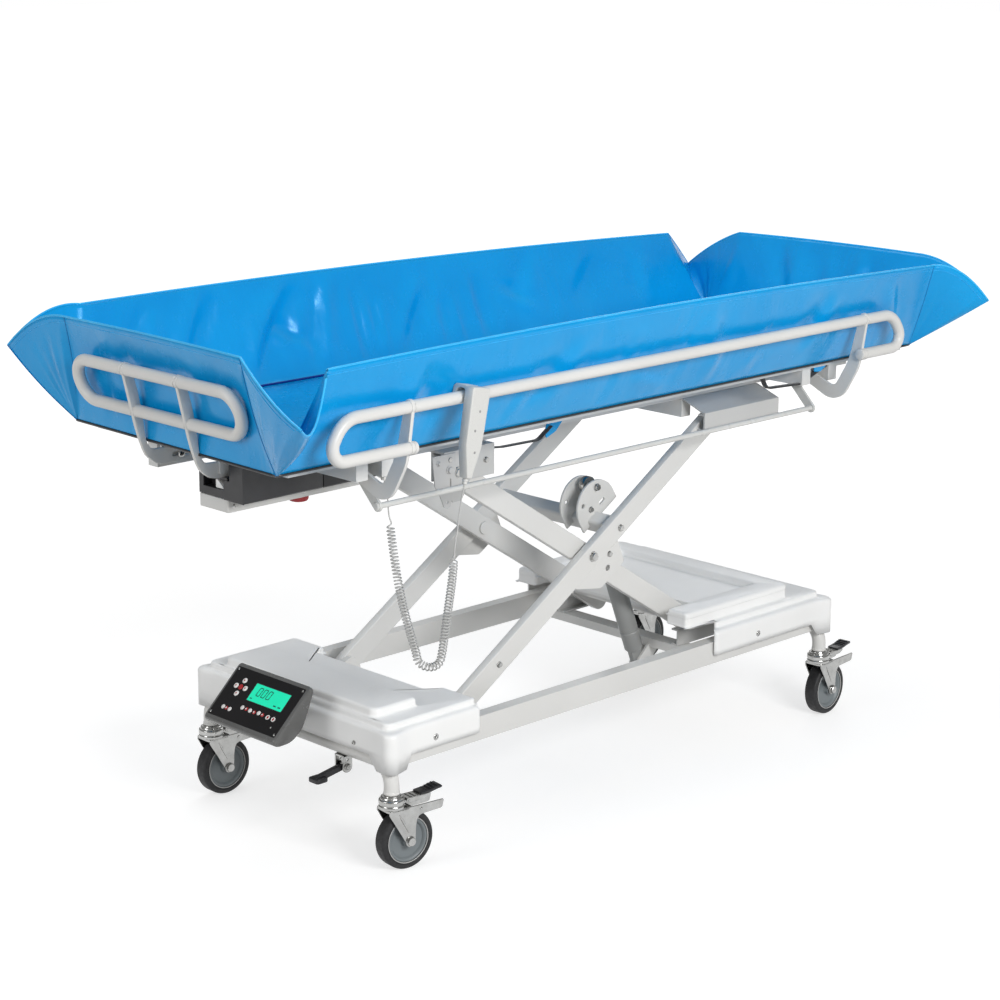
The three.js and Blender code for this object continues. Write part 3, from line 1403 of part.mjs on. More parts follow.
// Handset, hooked over the near rail with its body outside
const handsetInset = 148;
const handsetTilt = THREE.MathUtils.degToRad(11);
const hookClearance = 4;
const hookWall = 6;
const hookWidth = 34;
const handsetWidth = 50;
const handsetDepth = 24;
const handsetLength = 178;
const handsetHalfShares = [[0.66, 0], [0.97, 0.03], [0.9, 0.6], [0.44, 0.86], [0.3, 1]];

function buildHandset() {
  const handset = new THREE.Group();
  handset.position.set(leftRailArmX + handsetInset, -railY, railTopZ);
  handset.rotation.y = handsetTilt;
  trolley.add(handset);
  const inner = railTubeRadius + hookClearance;
  const outer = inner + hookWall;
  const half = handsetHalfShares.map(([across, down]) => [
    across * handsetWidth / 2, outer - down * handsetLength,
  ]);
  const front = outline([...half, ...half.slice().reverse().map(([x, z]) => [-x, z])]);
  const hook = new THREE.Shape();
  hook.moveTo(-inner - joinDepth, 0);
  hook.lineTo(-inner - joinDepth, outer - hookWall);
  hook.lineTo(-inner + hookWall, outer);
  hook.lineTo(inner, outer);
  hook.lineTo(outer, outer - hookWall);
  hook.lineTo(outer, -railTubeRadius);
  hook.lineTo(inner, -railTubeRadius);
  hook.lineTo(inner, 0);
  hook.absarc(0, 0, inner, 0, Math.PI, false);
  hook.closePath();
  const body = alongY(front, -inner - handsetDepth, -inner);
  piece('handset', join(body, alongX(hook, -hookWidth / 2, hookWidth / 2)), handsetPlastic, handset);
  handset.updateMatrixWorld();
  const tail = new THREE.Vector3(0, -inner - handsetDepth / 2, outer - handsetLength - seatGap);
  const down = new THREE.Vector3(0, 0, -1);
  return { place: handset.localToWorld(tail), direction: down.transformDirection(handset.matrixWorld) };
}

// Curly cord from the gland under the bed to the handset's tail: one tube, straight at both ends
const cordRadius = 2.3;
const curlRadius = 6.9;
const curlCount = 60;
const curlSteps = 8;
const cordSides = 5;

// Places that the curls hang through, from the gland's end
const cordRoute = [
  [8, 0, -38],
  [10, -1, -66],
  [13, -6, -122],
  [19, -17, -203],
  [26, -31, -274],
  [36, -46, -344],
  [40, -54, -369],
  [49, -72, -377],
  [58, -90, -369],
  [62, -98, -344],
  [58, -117, -262],
  [52, -137, -184],
  [49, -148, -117],
  [53, -151, -81],
  [61, -151, -33],
];
const curlStartPlace = 1;
const curlEndPlace = 12;

function buildCord(tail) {
  const straight = 2 * cordRadius;
  const glandEnd = new THREE.Vector3(glandX, glandY, barBottomZ - glandLength - seatGap);
  const middle = cordRoute.map((point) => new THREE.Vector3(...point).add(glandEnd));
  const route = [
    glandEnd.clone().add(new THREE.Vector3(0, 0, -straight)),
    ...middle,
    tail.place.clone().addScaledVector(tail.direction, straight),
  ];
  const curve = new THREE.CatmullRomCurve3(route, false, 'centripetal');
  const placeShare = (index) => (index + 1) / (route.length - 1);
  const curlFrom = placeShare(curlStartPlace);
  const curlTo = placeShare(curlEndPlace);
  const samples = 400;
  const lengths = [0];
  for (let i = 1; i <= samples; i += 1) {
    const shareOf = (n) => curlFrom + ((curlTo - curlFrom) * n) / samples;
    lengths.push(lengths[i - 1] + curve.getPoint(shareOf(i)).distanceTo(curve.getPoint(shareOf(i - 1))));
  }
  const curlLength = lengths[samples];
  const shareAt = (length) => {
    const index = lengths.findIndex((value) => value >= length);
    if (index <= 0) return curlFrom;
    const part = (length - lengths[index - 1]) / (lengths[index] - lengths[index - 1]);
    return curlFrom + ((curlTo - curlFrom) * (index - 1 + part)) / samples;
  };

  // Centre line: the lead from the gland, the curls, then the lead to the handset
  const centres = [glandEnd];
  for (let i = 0; i <= curlStartPlace; i += 1) centres.push(curve.getPoint(i / (route.length - 1)));
  const normal = new THREE.Vector3(1, 0, 0);
  const steps = curlCount * curlSteps;
  for (let i = 0; i <= steps; i += 1) {
    const share = shareAt((curlLength * i) / steps);
    const tangent = curve.getTangent(share);
    normal.addScaledVector(tangent, -normal.dot(tangent)).normalize();
    const binormal = new THREE.Vector3().crossVectors(tangent, normal);
    const fromEnd = Math.min(i, steps - i) / curlSteps;
    const radius = curlRadius * Math.min(1, fromEnd);
    const angle = (2 * Math.PI * i) / curlSteps;
    const centre = curve.getPoint(share);
    centre.addScaledVector(normal, radius * Math.cos(angle));
    centre.addScaledVector(binormal, radius * Math.sin(angle));
    centres.push(centre);
  }
  for (let i = curlEndPlace + 2; i < route.length; i += 1) centres.push(curve.getPoint(i / (route.length - 1)));
  centres.push(tail.place);

  // Least gap between turns, measured from centre to centre less the cord's thickness
  let least = Infinity;
  for (let i = 0; i < centres.length; i += 1) {
    for (let j = i + curlSteps - 2; j < centres.length; j += 1) {
      least = Math.min(least, centres[i].distanceTo(centres[j]) - 2 * cordRadius);
    }
  }
  console.log(`curly_cord: least gap to itself ${least.toFixed(2)} mm`);
  piece('curly_cord', tubeThrough(centres, cordRadius, cordSides), cordVinyl);
}

// A closed tube of rings round each centre, with the rings turned as little as possible along the way
function tubeThrough(centres, radius, sideCount) {
  const places = [];
  const faces = [];
  const normal = new THREE.Vector3(1, 0, 0);
  centres.forEach((centre, i) => {
    const before = centres[Math.max(i - 1, 0)];
    const after = centres[Math.min(i + 1, centres.length - 1)];
    const along = after.clone().sub(before).normalize();
    normal.addScaledVector(along, -normal.dot(along)).normalize();
    const across = new THREE.Vector3().crossVectors(along, normal);
    for (let k = 0; k < sideCount; k += 1) {
      const angle = (2 * Math.PI * k) / sideCount;
      const place = centre.clone();
      place.addScaledVector(normal, radius * Math.cos(angle));
      place.addScaledVector(across, radius * Math.sin(angle));
      places.push(place.x, place.y, place.z);
    }
  });
  const rings = centres.length;
  for (let i = 0; i < rings - 1; i += 1) {
    for (let k = 0; k < sideCount; k += 1) {
      const a = i * sideCount + k;
      const b = i * sideCount + ((k + 1) % sideCount);
      faces.push(a, b, b + sideCount, a, b + sideCount, a + sideCount);
    }
  }
  const last = (rings - 1) * sideCount;
  for (let k = 1; k < sideCount - 1; k += 1) {
    faces.push(0, k + 1, k);
    faces.push(last, last + k, last + k + 1);
  }
  const geometry = new THREE.BufferGeometry();
  geometry.setAttribute('position', new THREE.Float32BufferAttribute(places, 3));
  geometry.setIndex(faces);
  geometry.computeVertexNormals();
  return geometry;
}

buildBaseFrame();
buildCastors();
buildLeftCover();
buildRightCover();
buildDisplay();
buildFootLever();
buildOuterArms();
buildInnerArms();
buildActuator();
buildBedTracks();
buildBedBrackets();
buildBedFrame();
buildControls();
buildBasket();
buildSideRails();
buildReleaseRods();
buildEndRails();
const handsetTail = buildHandset();
buildCord(handsetTail);

export default trolley;
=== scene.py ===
"""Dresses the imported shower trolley: finer pieces, fabric, cord and materials, in metres.

X runs along the trolley, Y across it and Z up. The display is at the -X end and the near side at -Y.
Sizes below are in millimetres, as in the part's own source, and become metres where a mesh is made.
"""

import json
import math
import random

import bmesh
import bpy
import numpy as np
from mathutils import Matrix, Vector


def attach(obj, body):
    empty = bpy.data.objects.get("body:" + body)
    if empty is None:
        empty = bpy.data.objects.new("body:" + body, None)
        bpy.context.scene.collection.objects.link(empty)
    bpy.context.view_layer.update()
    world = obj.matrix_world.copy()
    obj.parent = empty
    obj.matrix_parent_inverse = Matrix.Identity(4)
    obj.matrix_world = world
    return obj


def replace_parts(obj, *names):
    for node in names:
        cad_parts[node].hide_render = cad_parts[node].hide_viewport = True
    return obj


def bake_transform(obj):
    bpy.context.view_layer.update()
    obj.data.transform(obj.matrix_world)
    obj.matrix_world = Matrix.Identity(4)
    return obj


MM = 0.001
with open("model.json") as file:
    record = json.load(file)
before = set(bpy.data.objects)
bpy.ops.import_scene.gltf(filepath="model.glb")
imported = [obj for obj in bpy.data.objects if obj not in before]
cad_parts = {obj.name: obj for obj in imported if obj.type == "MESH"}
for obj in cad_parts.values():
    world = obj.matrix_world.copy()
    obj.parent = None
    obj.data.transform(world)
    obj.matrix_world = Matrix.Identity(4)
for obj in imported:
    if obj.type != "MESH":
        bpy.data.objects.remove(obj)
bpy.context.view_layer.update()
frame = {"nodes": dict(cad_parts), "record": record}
nodes = frame["nodes"]
dice = random.Random(7)


def link(name, data):
    made = bpy.data.objects.new(name, data)
    bpy.context.scene.collection.objects.link(made)
    return made


# Camera
def make_camera():
    data = bpy.data.cameras.new("camera")
    data.sensor_width = 36
    data.lens = 87.71
    data.clip_start = 0.1
    data.clip_end = 60
    camera = link("camera", data)
    yaw, pitch, roll = 0.781, 0.247, 0.006
    level = Vector((math.cos(yaw), -math.sin(yaw), 0))
    ahead = Vector((math.sin(yaw), math.cos(yaw), 0))
    forward = ahead * math.cos(pitch) - Vector((0, 0, math.sin(pitch)))
    upright = level.cross(forward)
    right = level * math.cos(roll) + upright * math.sin(roll)
    up = upright * math.cos(roll) - level * math.sin(roll)
    turn = Matrix((right, up, -forward)).transposed().to_4x4()
    camera.matrix_world = Matrix.Translation((-3.7873, -3.7210, 1.9394)) @ turn
    bpy.context.scene.camera = camera


make_camera()


# Outlines and paths
def turns(steps):
    """Equal angles round a full turn."""
    return [2 * math.pi * k / steps for k in range(steps)]


def sweep(span, steps, start=0.0):
    """Equal angles over a span, with both of its ends."""
    return [start + span * k / steps for k in range(steps + 1)]


def arc(x, y, radius, angles):
    return [(x + radius * math.cos(t), y + radius * math.sin(t)) for t in angles]


def circle(x, y, radius, sides=24):
    return arc(x, y, radius, turns(sides))


def slot_outline(x0, x1, y, half, steps=8):
    right = [(x1 + half * math.sin(t), y - half * math.cos(t)) for t in sweep(math.pi, steps)]
    left = [(x0 - half * math.sin(t), y + half * math.cos(t)) for t in sweep(math.pi, steps)]
    return right + left


def rounded(x0, x1, y0, y1, radius, steps=6):
    """A rectangle with round corners."""
    corners = [
        (x1 - radius, y0 + radius, -90), (x1 - radius, y1 - radius, 0),
        (x0 + radius, y1 - radius, 90), (x0 + radius, y0 + radius, 180),
    ]
    outline = []
    for x, y, first in corners:
        outline += arc(x, y, radius, [math.radians(first + 90 * k / steps) for k in range(steps + 1)])
    return outline


def bent(points, bends, steps=8):
    """A path of straight runs with round bends."""
    corners = [Vector(p) for p in points]
    places = [corners[0]]
    for i, radius in enumerate(bends, 1):
        into = (corners[i] - corners[i - 1]).normalized()
        out = (corners[i + 1] - corners[i]).normalized()
        turn = into.angle(out)
        start = corners[i] - into * radius * math.tan(turn / 2)
        side = (out - into * out.dot(into)).normalized()
        centre = start + side * radius
        for angle in sweep(turn, steps):
            places.append(centre - side * radius * math.cos(angle) + into * radius * math.sin(angle))
    places.append(corners[-1])
    return places


def half_turn(centre, start, steps):
    """Places of a half circle round centre, after start and before its far end."""
    spoke = start - centre
    across = Vector((-spoke.y, spoke.x, 0))
    return [centre + spoke * math.cos(t) + across * math.sin(t) for t in sweep(math.pi, steps)[1:-1]]


def band(line, widths, ends=12):
    """Outline of a flat bar with round ends that follows a line, with a width for each place of it."""
    left, right = [], []
    for i, place in enumerate(line):
        before, after = line[max(i - 1, 0)], line[min(i + 1, len(line) - 1)]
        along = (after - before).normalized()
        side = Vector((-along.y, along.x, 0)) * widths[i] / 2
        left.append(place + side)
        right.append(place - side)
    outline = right + half_turn(line[-1], right[-1], ends) + left[::-1] + half_turn(line[0], left[0], ends)
    return [(p.x, p.y) for p in outline]


def thick_line(points, bends, width, steps=8, ends=8):
    """Outline of a flat bar of one width with round ends that follows a bent line."""
    line = bent([(a, b, 0) for a, b in points], bends, steps)
    return band(line, [width] * len(line), ends)


def curved(start, control, end, t):
    """A place on the curve that leaves start towards control and reaches end."""
    return start * (1 - t) ** 2 + control * 2 * t * (1 - t) + end * t * t


def eased(share):
    """Goes from 0 to 1 with soft ends."""
    share = min(1.0, max(0.0, share))
    return share * share * (3 - 2 * share)


# Mesh helpers
AXES = {
    "x": Matrix(((0, 0, 1, 0), (1, 0, 0, 0), (0, 1, 0, 0), (0, 0, 0, 1))),
    "y": Matrix(((1, 0, 0, 0), (0, 0, 1, 0), (0, 1, 0, 0), (0, 0, 0, 1))),
    "z": Matrix.Identity(4),
}
LEAST_RADIUS = 0.01


def turn_outward(mesh, weld=0.0):
    """Turns the faces outward, after welding places that are closer together than weld."""
    shape = bmesh.new()
    shape.from_mesh(mesh)
    if weld:
        bmesh.ops.remove_doubles(shape, verts=shape.verts, dist=weld)
    bmesh.ops.recalc_face_normals(shape, faces=shape.faces)
    shape.to_mesh(mesh)
    shape.free()


def finish_piece(made, material, body, sharp=32):
    mesh = made.data
    mesh.materials.clear()
    mesh.materials.append(material)
    mesh.polygons.foreach_set("use_smooth", [True] * len(mesh.polygons))
    mesh.set_sharp_from_angle(angle=math.radians(sharp))
    if body:
        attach(made, body)
    return made


def thicken(made, thickness, offset):
    """Gives a thin skin its thickness, with the skin in its middle at offset 0 and on its outside at -1."""
    solid = made.modifiers.new("thickness", "SOLIDIFY")
    solid.thickness = thickness * MM
    solid.offset = offset


def directions(axis):
    """The axis and two directions across it, all of length 1."""
    axis = Vector(axis).normalized()
    side = axis.orthogonal().normalized()
    return axis, side, axis.cross(side)


def ring_round(centre, side, across, radius, sides):
    return [centre + (side * math.cos(t) + across * math.sin(t)) * radius for t in turns(sides)]


class Bits:
    """Closed shapes gathered in millimetres, which become one piece."""

    def __init__(self):
        self.verts = []
        self.faces = []

    def add(self, verts, faces):
        start = len(self.verts)
        self.verts.extend([tuple(v) for v in verts])
        self.faces.extend([[start + i for i in face] for face in faces])
        return self

    def moved(self, place):
        self.verts = [place @ Vector(v) for v in self.verts]
        return self

    def rings(self, rings, closed=False):
        """A skin over rings, closed into a loop or capped at both ends."""
        count = len(rings[0])
        spans = len(rings) if closed else len(rings) - 1
        faces = []
        for i in range(spans):
            a, b = i * count, ((i + 1) % len(rings)) * count
            for k in range(count):
                n = (k + 1) % count
                faces.append([a + k, a + n, b + n, b + k])
        if not closed:
            faces.append(list(range(count))[::-1])
            faces.append([spans * count + k for k in range(count)])
        return self.add([v for ring in rings for v in ring], faces)

    def tube(self, places, radius, sides=20, closed=False):
        """A tube along places, where radius is one number or a list with one for each place."""
        places = [Vector(p) for p in places]
        count = len(places)
        radii = radius if isinstance(radius, list) else [radius] * count
        tangents = []
        for i in range(count):
            before = places[(i - 1) % count] if closed or i else places[0]
            after = places[(i + 1) % count] if closed or i < count - 1 else places[-1]
            tangents.append((after - before).normalized())
        normal = tangents[0].orthogonal().normalized()
        rings = []
        for place, tangent, r in zip(places, tangents, radii):
            normal = (normal - tangent * normal.dot(tangent)).normalized()
            rings.append(ring_round(place, normal, tangent.cross(normal), r, sides))
        return self.rings(rings, closed)

    def rod(self, start, end, radius, sides=24, edge=0.6):
        """A straight round bar with softened ends."""
        start, end = Vector(start), Vector(end)
        along = (end - start).normalized()
        places = [start, start + along * edge, end - along * edge, end]
        return self.tube(places, [radius - edge, radius, radius, radius - edge], sides)

    def lathe(self, profile, start, axis, sides=32, closed=False):
        """A turned shape: its profile has (radius, place along the axis) from start."""
        axis, side, across = directions(axis)
        rings = []
        for radius, along in profile:
            centre = Vector(start) + axis * along
            rings.append(ring_round(centre, side, across, max(radius, LEAST_RADIUS), sides))
        return self.rings(rings, closed)

    def box(self, x0, x1, y0, y1, z0, z1):
        verts = [(x, y, z) for x in (x0, x1) for y in (y0, y1) for z in (z0, z1)]
        faces = [[0, 1, 3, 2], [4, 6, 7, 5], [0, 4, 5, 1], [2, 3, 7, 6], [0, 2, 6, 4], [1, 5, 7, 3]]
        return self.add(verts, faces)

    def plate(self, outline, holes, start, end, axis, edge=0.5):
        """A flat plate from start to end along axis, with holes and softened edges."""
        curve = bpy.data.curves.new("outline", "CURVE")
        curve.dimensions = "2D"
        curve.fill_mode = "BOTH"
        for ring in [outline, *holes]:
            spline = curve.splines.new("POLY")
            spline.points.add(len(ring) - 1)
            for point, (a, b) in zip(spline.points, ring):
                point.co = (a, b, 0, 1)
            spline.use_cyclic_u = True
        curve.extrude = abs(end - start) / 2 - edge
        curve.bevel_depth = edge
        curve.bevel_resolution = 1
        curve.offset = -edge
        holder = link("outline", curve)
        bpy.context.view_layer.update()
        seen = holder.evaluated_get(bpy.context.evaluated_depsgraph_get())
        mesh = bpy.data.meshes.new_from_object(seen)
        bpy.data.objects.remove(holder)
        bpy.data.curves.remove(curve)
        move = AXES[axis] @ Matrix.Translation((0, 0, (start + end) / 2))
        self.add([move @ v.co for v in mesh.vertices], [list(p.vertices) for p in mesh.polygons])
        bpy.data.meshes.remove(mesh)
        return self

    def hex_head(self, centre, axis, size, height, turn=0.0, washer=0.0):
        """A chamfered hexagon head, turned by an angle, on a washer where that has a radius."""
        axis, side, _ = directions(axis)
        side = Matrix.Rotation(turn, 3, axis) @ side
        across = axis.cross(side)
        base = Vector(centre)
        if washer:
            self.lathe([(washer - 0.5, 0), (washer, 0.4), (washer, 1.3), (washer - 0.5, 1.8)], base, axis, 28)
            base = base + axis * 1.8
        radius = size / math.sqrt(3)
        rings = []
        for share, along in ((1.0, 0.0), (1.0, height * 0.82), (0.86, height)):
            ring = []
            for k, t in enumerate(turns(12)):
                r = radius if k % 2 == 0 else radius * math.cos(math.pi / 6)
                r = min(r, radius * share)
                ring.append(base + axis * along + (side * math.cos(t) + across * math.sin(t)) * r)
            rings.append(ring)
        return self.rings(rings)

    def dome_head(self, centre, axis, radius, height, sides=24):
        dome = [
            (radius * math.cos(t), height * (0.25 + 0.75 * math.sin(t))) for t in sweep(math.pi / 2, 5)[1:]
        ]
        return self.lathe([(radius, 0), (radius, height * 0.25), *dome], centre, axis, sides)

    def socket_head(self, centre, axis, radius, height):
        """A round cap head with a sunk six-sided socket."""
        axis, side, across = directions(axis)
        rings = []
        for share, up, six in ((1, 0, 0), (1, 0.8, 0), (0.9, 1, 0), (0.5, 1, 1), (0.48, 0.35, 1)):
            ring = []
            for t in turns(24):
                r = radius * share
                if six:
                    r /= math.cos((t % (math.pi / 3)) - math.pi / 6)
                spoke = side * math.cos(t) + across * math.sin(t)
                ring.append(Vector(centre) + axis * height * up + spoke * r)
            rings.append(ring)
        return self.rings(rings)

    def piece(self, name, material, body, slot, sharp=32):
        mesh = bpy.data.meshes.new(name)
        mesh.from_pydata([Vector(v) * MM for v in self.verts], [], self.faces)
        mesh.validate()
        turn_outward(mesh)
        return finish_piece(link(name, mesh), material, body, sharp)


# Materials
class Look:
    """A node material built up from the object's own coordinates."""

    def __init__(self, name, color, roughness, metallic=0.0):
        self.material = bpy.data.materials.new(name)
        self.material.use_nodes = True
        self.nodes = self.material.node_tree.nodes
        self.links = self.material.node_tree.links
        self.nodes.clear()
        output = self.nodes.new("ShaderNodeOutputMaterial")
        self.shader = self.nodes.new("ShaderNodeBsdfPrincipled")
        self.links.new(self.shader.outputs[0], output.inputs[0])
        self.shader.inputs["Base Color"].default_value = (*color, 1)
        self.shader.inputs["Roughness"].default_value = roughness
        self.shader.inputs["Metallic"].default_value = metallic
        self.material.diffuse_color = (*color, 1)
        self.place = self.nodes.new("ShaderNodeTexCoord").outputs["Object"]
        self.height = None

    def put(self, socket, value):
        self.shader.inputs[socket].default_value = value
        return self

    def feed(self, node, socket, value):
        if isinstance(value, bpy.types.NodeSocket):
            self.links.new(value, node.inputs[socket])
        else:
            node.inputs[socket].default_value = value

    def stretched(self, scale):
        mapping = self.nodes.new("ShaderNodeMapping")
        self.links.new(self.place, mapping.inputs["Vector"])
        mapping.inputs["Scale"].default_value = scale
        return mapping.outputs[0]

    def noise(self, scale, detail=3.0, roughness=0.5, stretch=None, distortion=0.0):
        node = self.nodes.new("ShaderNodeTexNoise")
        self.links.new(self.stretched(stretch) if stretch else self.place, node.inputs["Vector"])
        node.inputs["Scale"].default_value = scale
        node.inputs["Detail"].default_value = detail
        node.inputs["Roughness"].default_value = roughness
        node.inputs["Distortion"].default_value = distortion
        return node.outputs["Fac"]

    def cells(self, scale):
        node = self.nodes.new("ShaderNodeTexVoronoi")
        self.links.new(self.place, node.inputs["Vector"])
        node.inputs["Scale"].default_value = scale
        return node.outputs["Distance"]

    def wave(self, scale, direction, profile="SIN"):
        node = self.nodes.new("ShaderNodeTexWave")
        node.wave_type = "BANDS"
        node.bands_direction = direction
        node.wave_profile = profile
        self.links.new(self.place, node.inputs["Vector"])
        node.inputs["Scale"].default_value = scale
        return node.outputs["Fac"]

    def span(self, value, from_low, from_high, to_low=0.0, to_high=1.0):
        node = self.nodes.new("ShaderNodeMapRange")
        self.links.new(value, node.inputs["Value"])
        ends = {"From Min": from_low, "From Max": from_high, "To Min": to_low, "To Max": to_high}
        for socket, number in ends.items():
            node.inputs[socket].default_value = number
        return node.outputs[0]

    def math(self, operation, a, b=0.0):
        node = self.nodes.new("ShaderNodeMath")
        node.operation = operation
        self.feed(node, 0, a)
        self.feed(node, 1, b)
        return node.outputs[0]

    def blend(self, share, a, b):
        node = self.nodes.new("ShaderNodeMix")
        node.data_type = "RGBA"
        self.feed(node, 0, share)
        self.feed(node, 6, (*a, 1) if isinstance(a, tuple) else a)
        self.feed(node, 7, (*b, 1) if isinstance(b, tuple) else b)
        return node.outputs[2]

    def color(self, value):
        self.links.new(value, self.shader.inputs["Base Color"])
        return self

    def rough(self, value):
        self.links.new(value, self.shader.inputs["Roughness"])
        return self

    def bump(self, height, distance, strength=1.0):
        node = self.nodes.new("ShaderNodeBump")
        node.inputs["Strength"].default_value = strength
        node.inputs["Distance"].default_value = distance * MM
        self.links.new(height, node.inputs["Height"])
        if self.height is not None:
            self.links.new(self.height, node.inputs["Normal"])
        self.height = node.outputs[0]
        self.links.new(self.height, self.shader.inputs["Normal"])
        return self


def painted(name, color, shade, roughness):
    """Powder coat: a fine orange-peel skin with slightly uneven gloss."""
    look = Look(name, color, roughness)
    drift = look.noise(3.5, 2)
    look.color(look.blend(look.span(drift, 0.35, 0.7), color, shade))
    look.rough(look.span(look.noise(60, 4), 0.3, 0.7, roughness - 0.05, roughness + 0.07))
    look.bump(look.noise(420, 2, 0.6), 0.05, 0.35)
    look.bump(look.noise(2400, 1, 0.5), 0.012, 0.3)
    look.put("Specular IOR Level", 0.45)
    return look.material


def moulded(name, color, shade, roughness, grain=0.02, gloss=0.5):
    """Moulded plastic: fine spark-eroded grain and slight drift in tone."""
    look = Look(name, color, roughness)
    look.color(look.blend(look.span(look.noise(6, 3), 0.35, 0.7), color, shade))
    look.rough(look.span(look.noise(35, 3), 0.3, 0.7, roughness - 0.05, roughness + 0.06))
    look.bump(look.noise(1500, 2, 0.55), grain, 0.5)
    look.bump(look.noise(9, 2), 0.35, 0.25)
    look.put("Specular IOR Level", gloss)
    return look.material


def plated(name, color, shade, roughness):
    """Plated steel: soft clouding, fine uneven gloss and small pits."""
    look = Look(name, color, roughness, 1.0)
    cloud = look.noise(45, 4, 0.6)
    look.color(look.blend(look.span(cloud, 0.35, 0.75), color, shade))
    grain = look.noise(120, 3, 0.6)
    look.rough(look.span(grain, 0.3, 0.7, roughness - 0.07, roughness + 0.12))
    look.bump(grain, 0.02, 0.3)
    look.bump(look.noise(900, 2), 0.01, 0.3)
    return look.material


def tyre_rubber():
    look = Look("tyre_rubber", (0.03, 0.031, 0.033), 0.6)
    dust = look.span(look.noise(70, 5, 0.65), 0.35, 0.75)
    look.color(look.blend(dust, (0.008, 0.008, 0.009), (0.018, 0.018, 0.020)))
    look.rough(look.span(look.noise(160, 3), 0.3, 0.7, 0.5, 0.72))
    look.bump(look.noise(1300, 3, 0.6), 0.04, 0.5)
    return look.material


def vinyl(name, color, shade):
    """Coated fabric: a woven scrim that shows faintly through a glossy skin with fine creases."""
    roughness = 0.24
    look = Look(name, color, roughness)
    weave = look.math("MULTIPLY", look.wave(260, "X"), look.wave(260, "Z"))
    drift = look.noise(5, 3, 0.5, None, 0.4)
    tone = look.blend(look.span(drift, 0.3, 0.75), color, shade)
    speck = look.span(look.noise(700, 2), 0.35, 0.65)
    look.color(look.blend(look.math("MULTIPLY", speck, 0.12), tone, shade))
    look.rough(look.span(look.noise(26, 4, 0.6), 0.3, 0.7, roughness - 0.05, roughness + 0.06))
    look.bump(look.noise(7, 3, 0.5, (1, 1, 0.55), 0.8), 9.0, 0.6)
    look.bump(look.noise(38, 2, 0.5), 0.25, 0.3)
    look.bump(weave, 0.035, 0.4)
    look.bump(look.noise(1600, 2), 0.02, 0.3)
    look.put("Specular IOR Level", 0.5)
    look.put("Specular Tint", (0.35, 0.72, 1.0, 1))
    look.put("Coat Weight", 0.10)
    look.put("Coat Roughness", 0.13)
    return look.material


def speckled(name, color, fleck, roughness):
    look = Look(name, color, roughness)
    flecks = look.span(look.cells(900), 0.14, 0.22, 1.0, 0.0)
    keep = look.span(look.noise(800, 1), 0.46, 0.54)
    look.color(look.blend(look.math("MULTIPLY", flecks, keep), color, fleck))
    look.rough(look.span(look.noise(50, 3), 0.3, 0.7, roughness - 0.04, roughness + 0.08))
    look.bump(look.noise(1700, 2), 0.02, 0.4)
    return look.material


def webbing(name, color, shade):
    look = Look(name, color, 0.75)
    ribs = look.math("MULTIPLY", look.wave(210, "X"), look.wave(300, "Z"))
    look.color(look.blend(look.span(ribs, 0.2, 0.8), shade, color))
    look.bump(ribs, 0.25, 0.7)
    look.bump(look.noise(900, 3), 0.05, 0.4)
    look.put("Sheen Weight", 0.3)
    return look.material


def lit_screen(name, color, shade):
    look = Look(name, color, 0.22)
    tone = look.blend(look.span(look.noise(14, 2), 0.3, 0.7), color, shade)
    grid = look.math("MULTIPLY", look.wave(520, "Y", "SAW"), look.wave(520, "Z", "SAW"))
    look.color(look.blend(look.math("MULTIPLY", grid, 0.1), tone, (0.01, 0.16, 0.12)))
    look.put("Emission Color", (*color, 1))
    look.put("Emission Strength", 0.28)
    look.bump(look.noise(900, 1), 0.006, 0.3)
    return look.material


WHITE = painted("white_powder_coat", (0.72, 0.715, 0.695), (0.67, 0.665, 0.645), 0.34)
GREY = painted("grey_powder_coat", (0.56, 0.56, 0.55), (0.50, 0.50, 0.49), 0.38)
ZINC = plated("zinc_plate", (0.22, 0.22, 0.21), (0.13, 0.13, 0.125), 0.26)
CHROME = plated("polished_steel", (0.50, 0.50, 0.49), (0.38, 0.38, 0.37), 0.16)
COVER = moulded("white_cover_plastic", (0.90, 0.90, 0.89), (0.86, 0.86, 0.85), 0.34)
HUB = moulded("grey_hub_plastic", (0.20, 0.225, 0.235), (0.16, 0.18, 0.19), 0.42)
BLACK = moulded("black_plastic", (0.012, 0.012, 0.014), (0.022, 0.022, 0.025), 0.38)
SILVER = moulded("silver_plastic", (0.13, 0.13, 0.128), (0.10, 0.10, 0.098), 0.24, 0.012)
PANEL = moulded("display_film", (0.006, 0.006, 0.007), (0.010, 0.009, 0.010), 0.34, gloss=0.22)
SCREEN = lit_screen("lit_screen", (0.004, 0.80, 0.46), (0.003, 0.68, 0.40))
RED = moulded("red_plastic", (0.42, 0.012, 0.018), (0.32, 0.01, 0.014), 0.3)
VINYL = vinyl("blue_vinyl", (0.002, 0.35, 0.76), (0.001, 0.29, 0.67))
# Lighter blue of the hem and weld line: a painted highlight along the basket's rim
RIM_HIGHLIGHT_BLUE = vinyl("rim_highlight_blue_vinyl", (0.05, 0.50, 0.92), (0.03, 0.43, 0.85))
DEEP_BLUE = vinyl("deep_blue_vinyl", (0.002, 0.20, 0.52), (0.002, 0.15, 0.43))
# Navy of the seam inside the floor's edge: painted shade in the corner between floor and walls
SEAM_SHADE_NAVY = vinyl("painted_shade_navy_vinyl", (0.001, 0.03, 0.26), (0.001, 0.02, 0.20))
HANDSET = speckled("speckled_plastic", (0.62, 0.62, 0.60), (0.25, 0.25, 0.26), 0.42)
CORD = moulded("cord_sheath", (0.52, 0.52, 0.51), (0.45, 0.45, 0.44), 0.45)
TYRE = tyre_rubber()
RING = moulded("light_ring_plastic", (0.50, 0.50, 0.49), (0.42, 0.42, 0.42), 0.35)
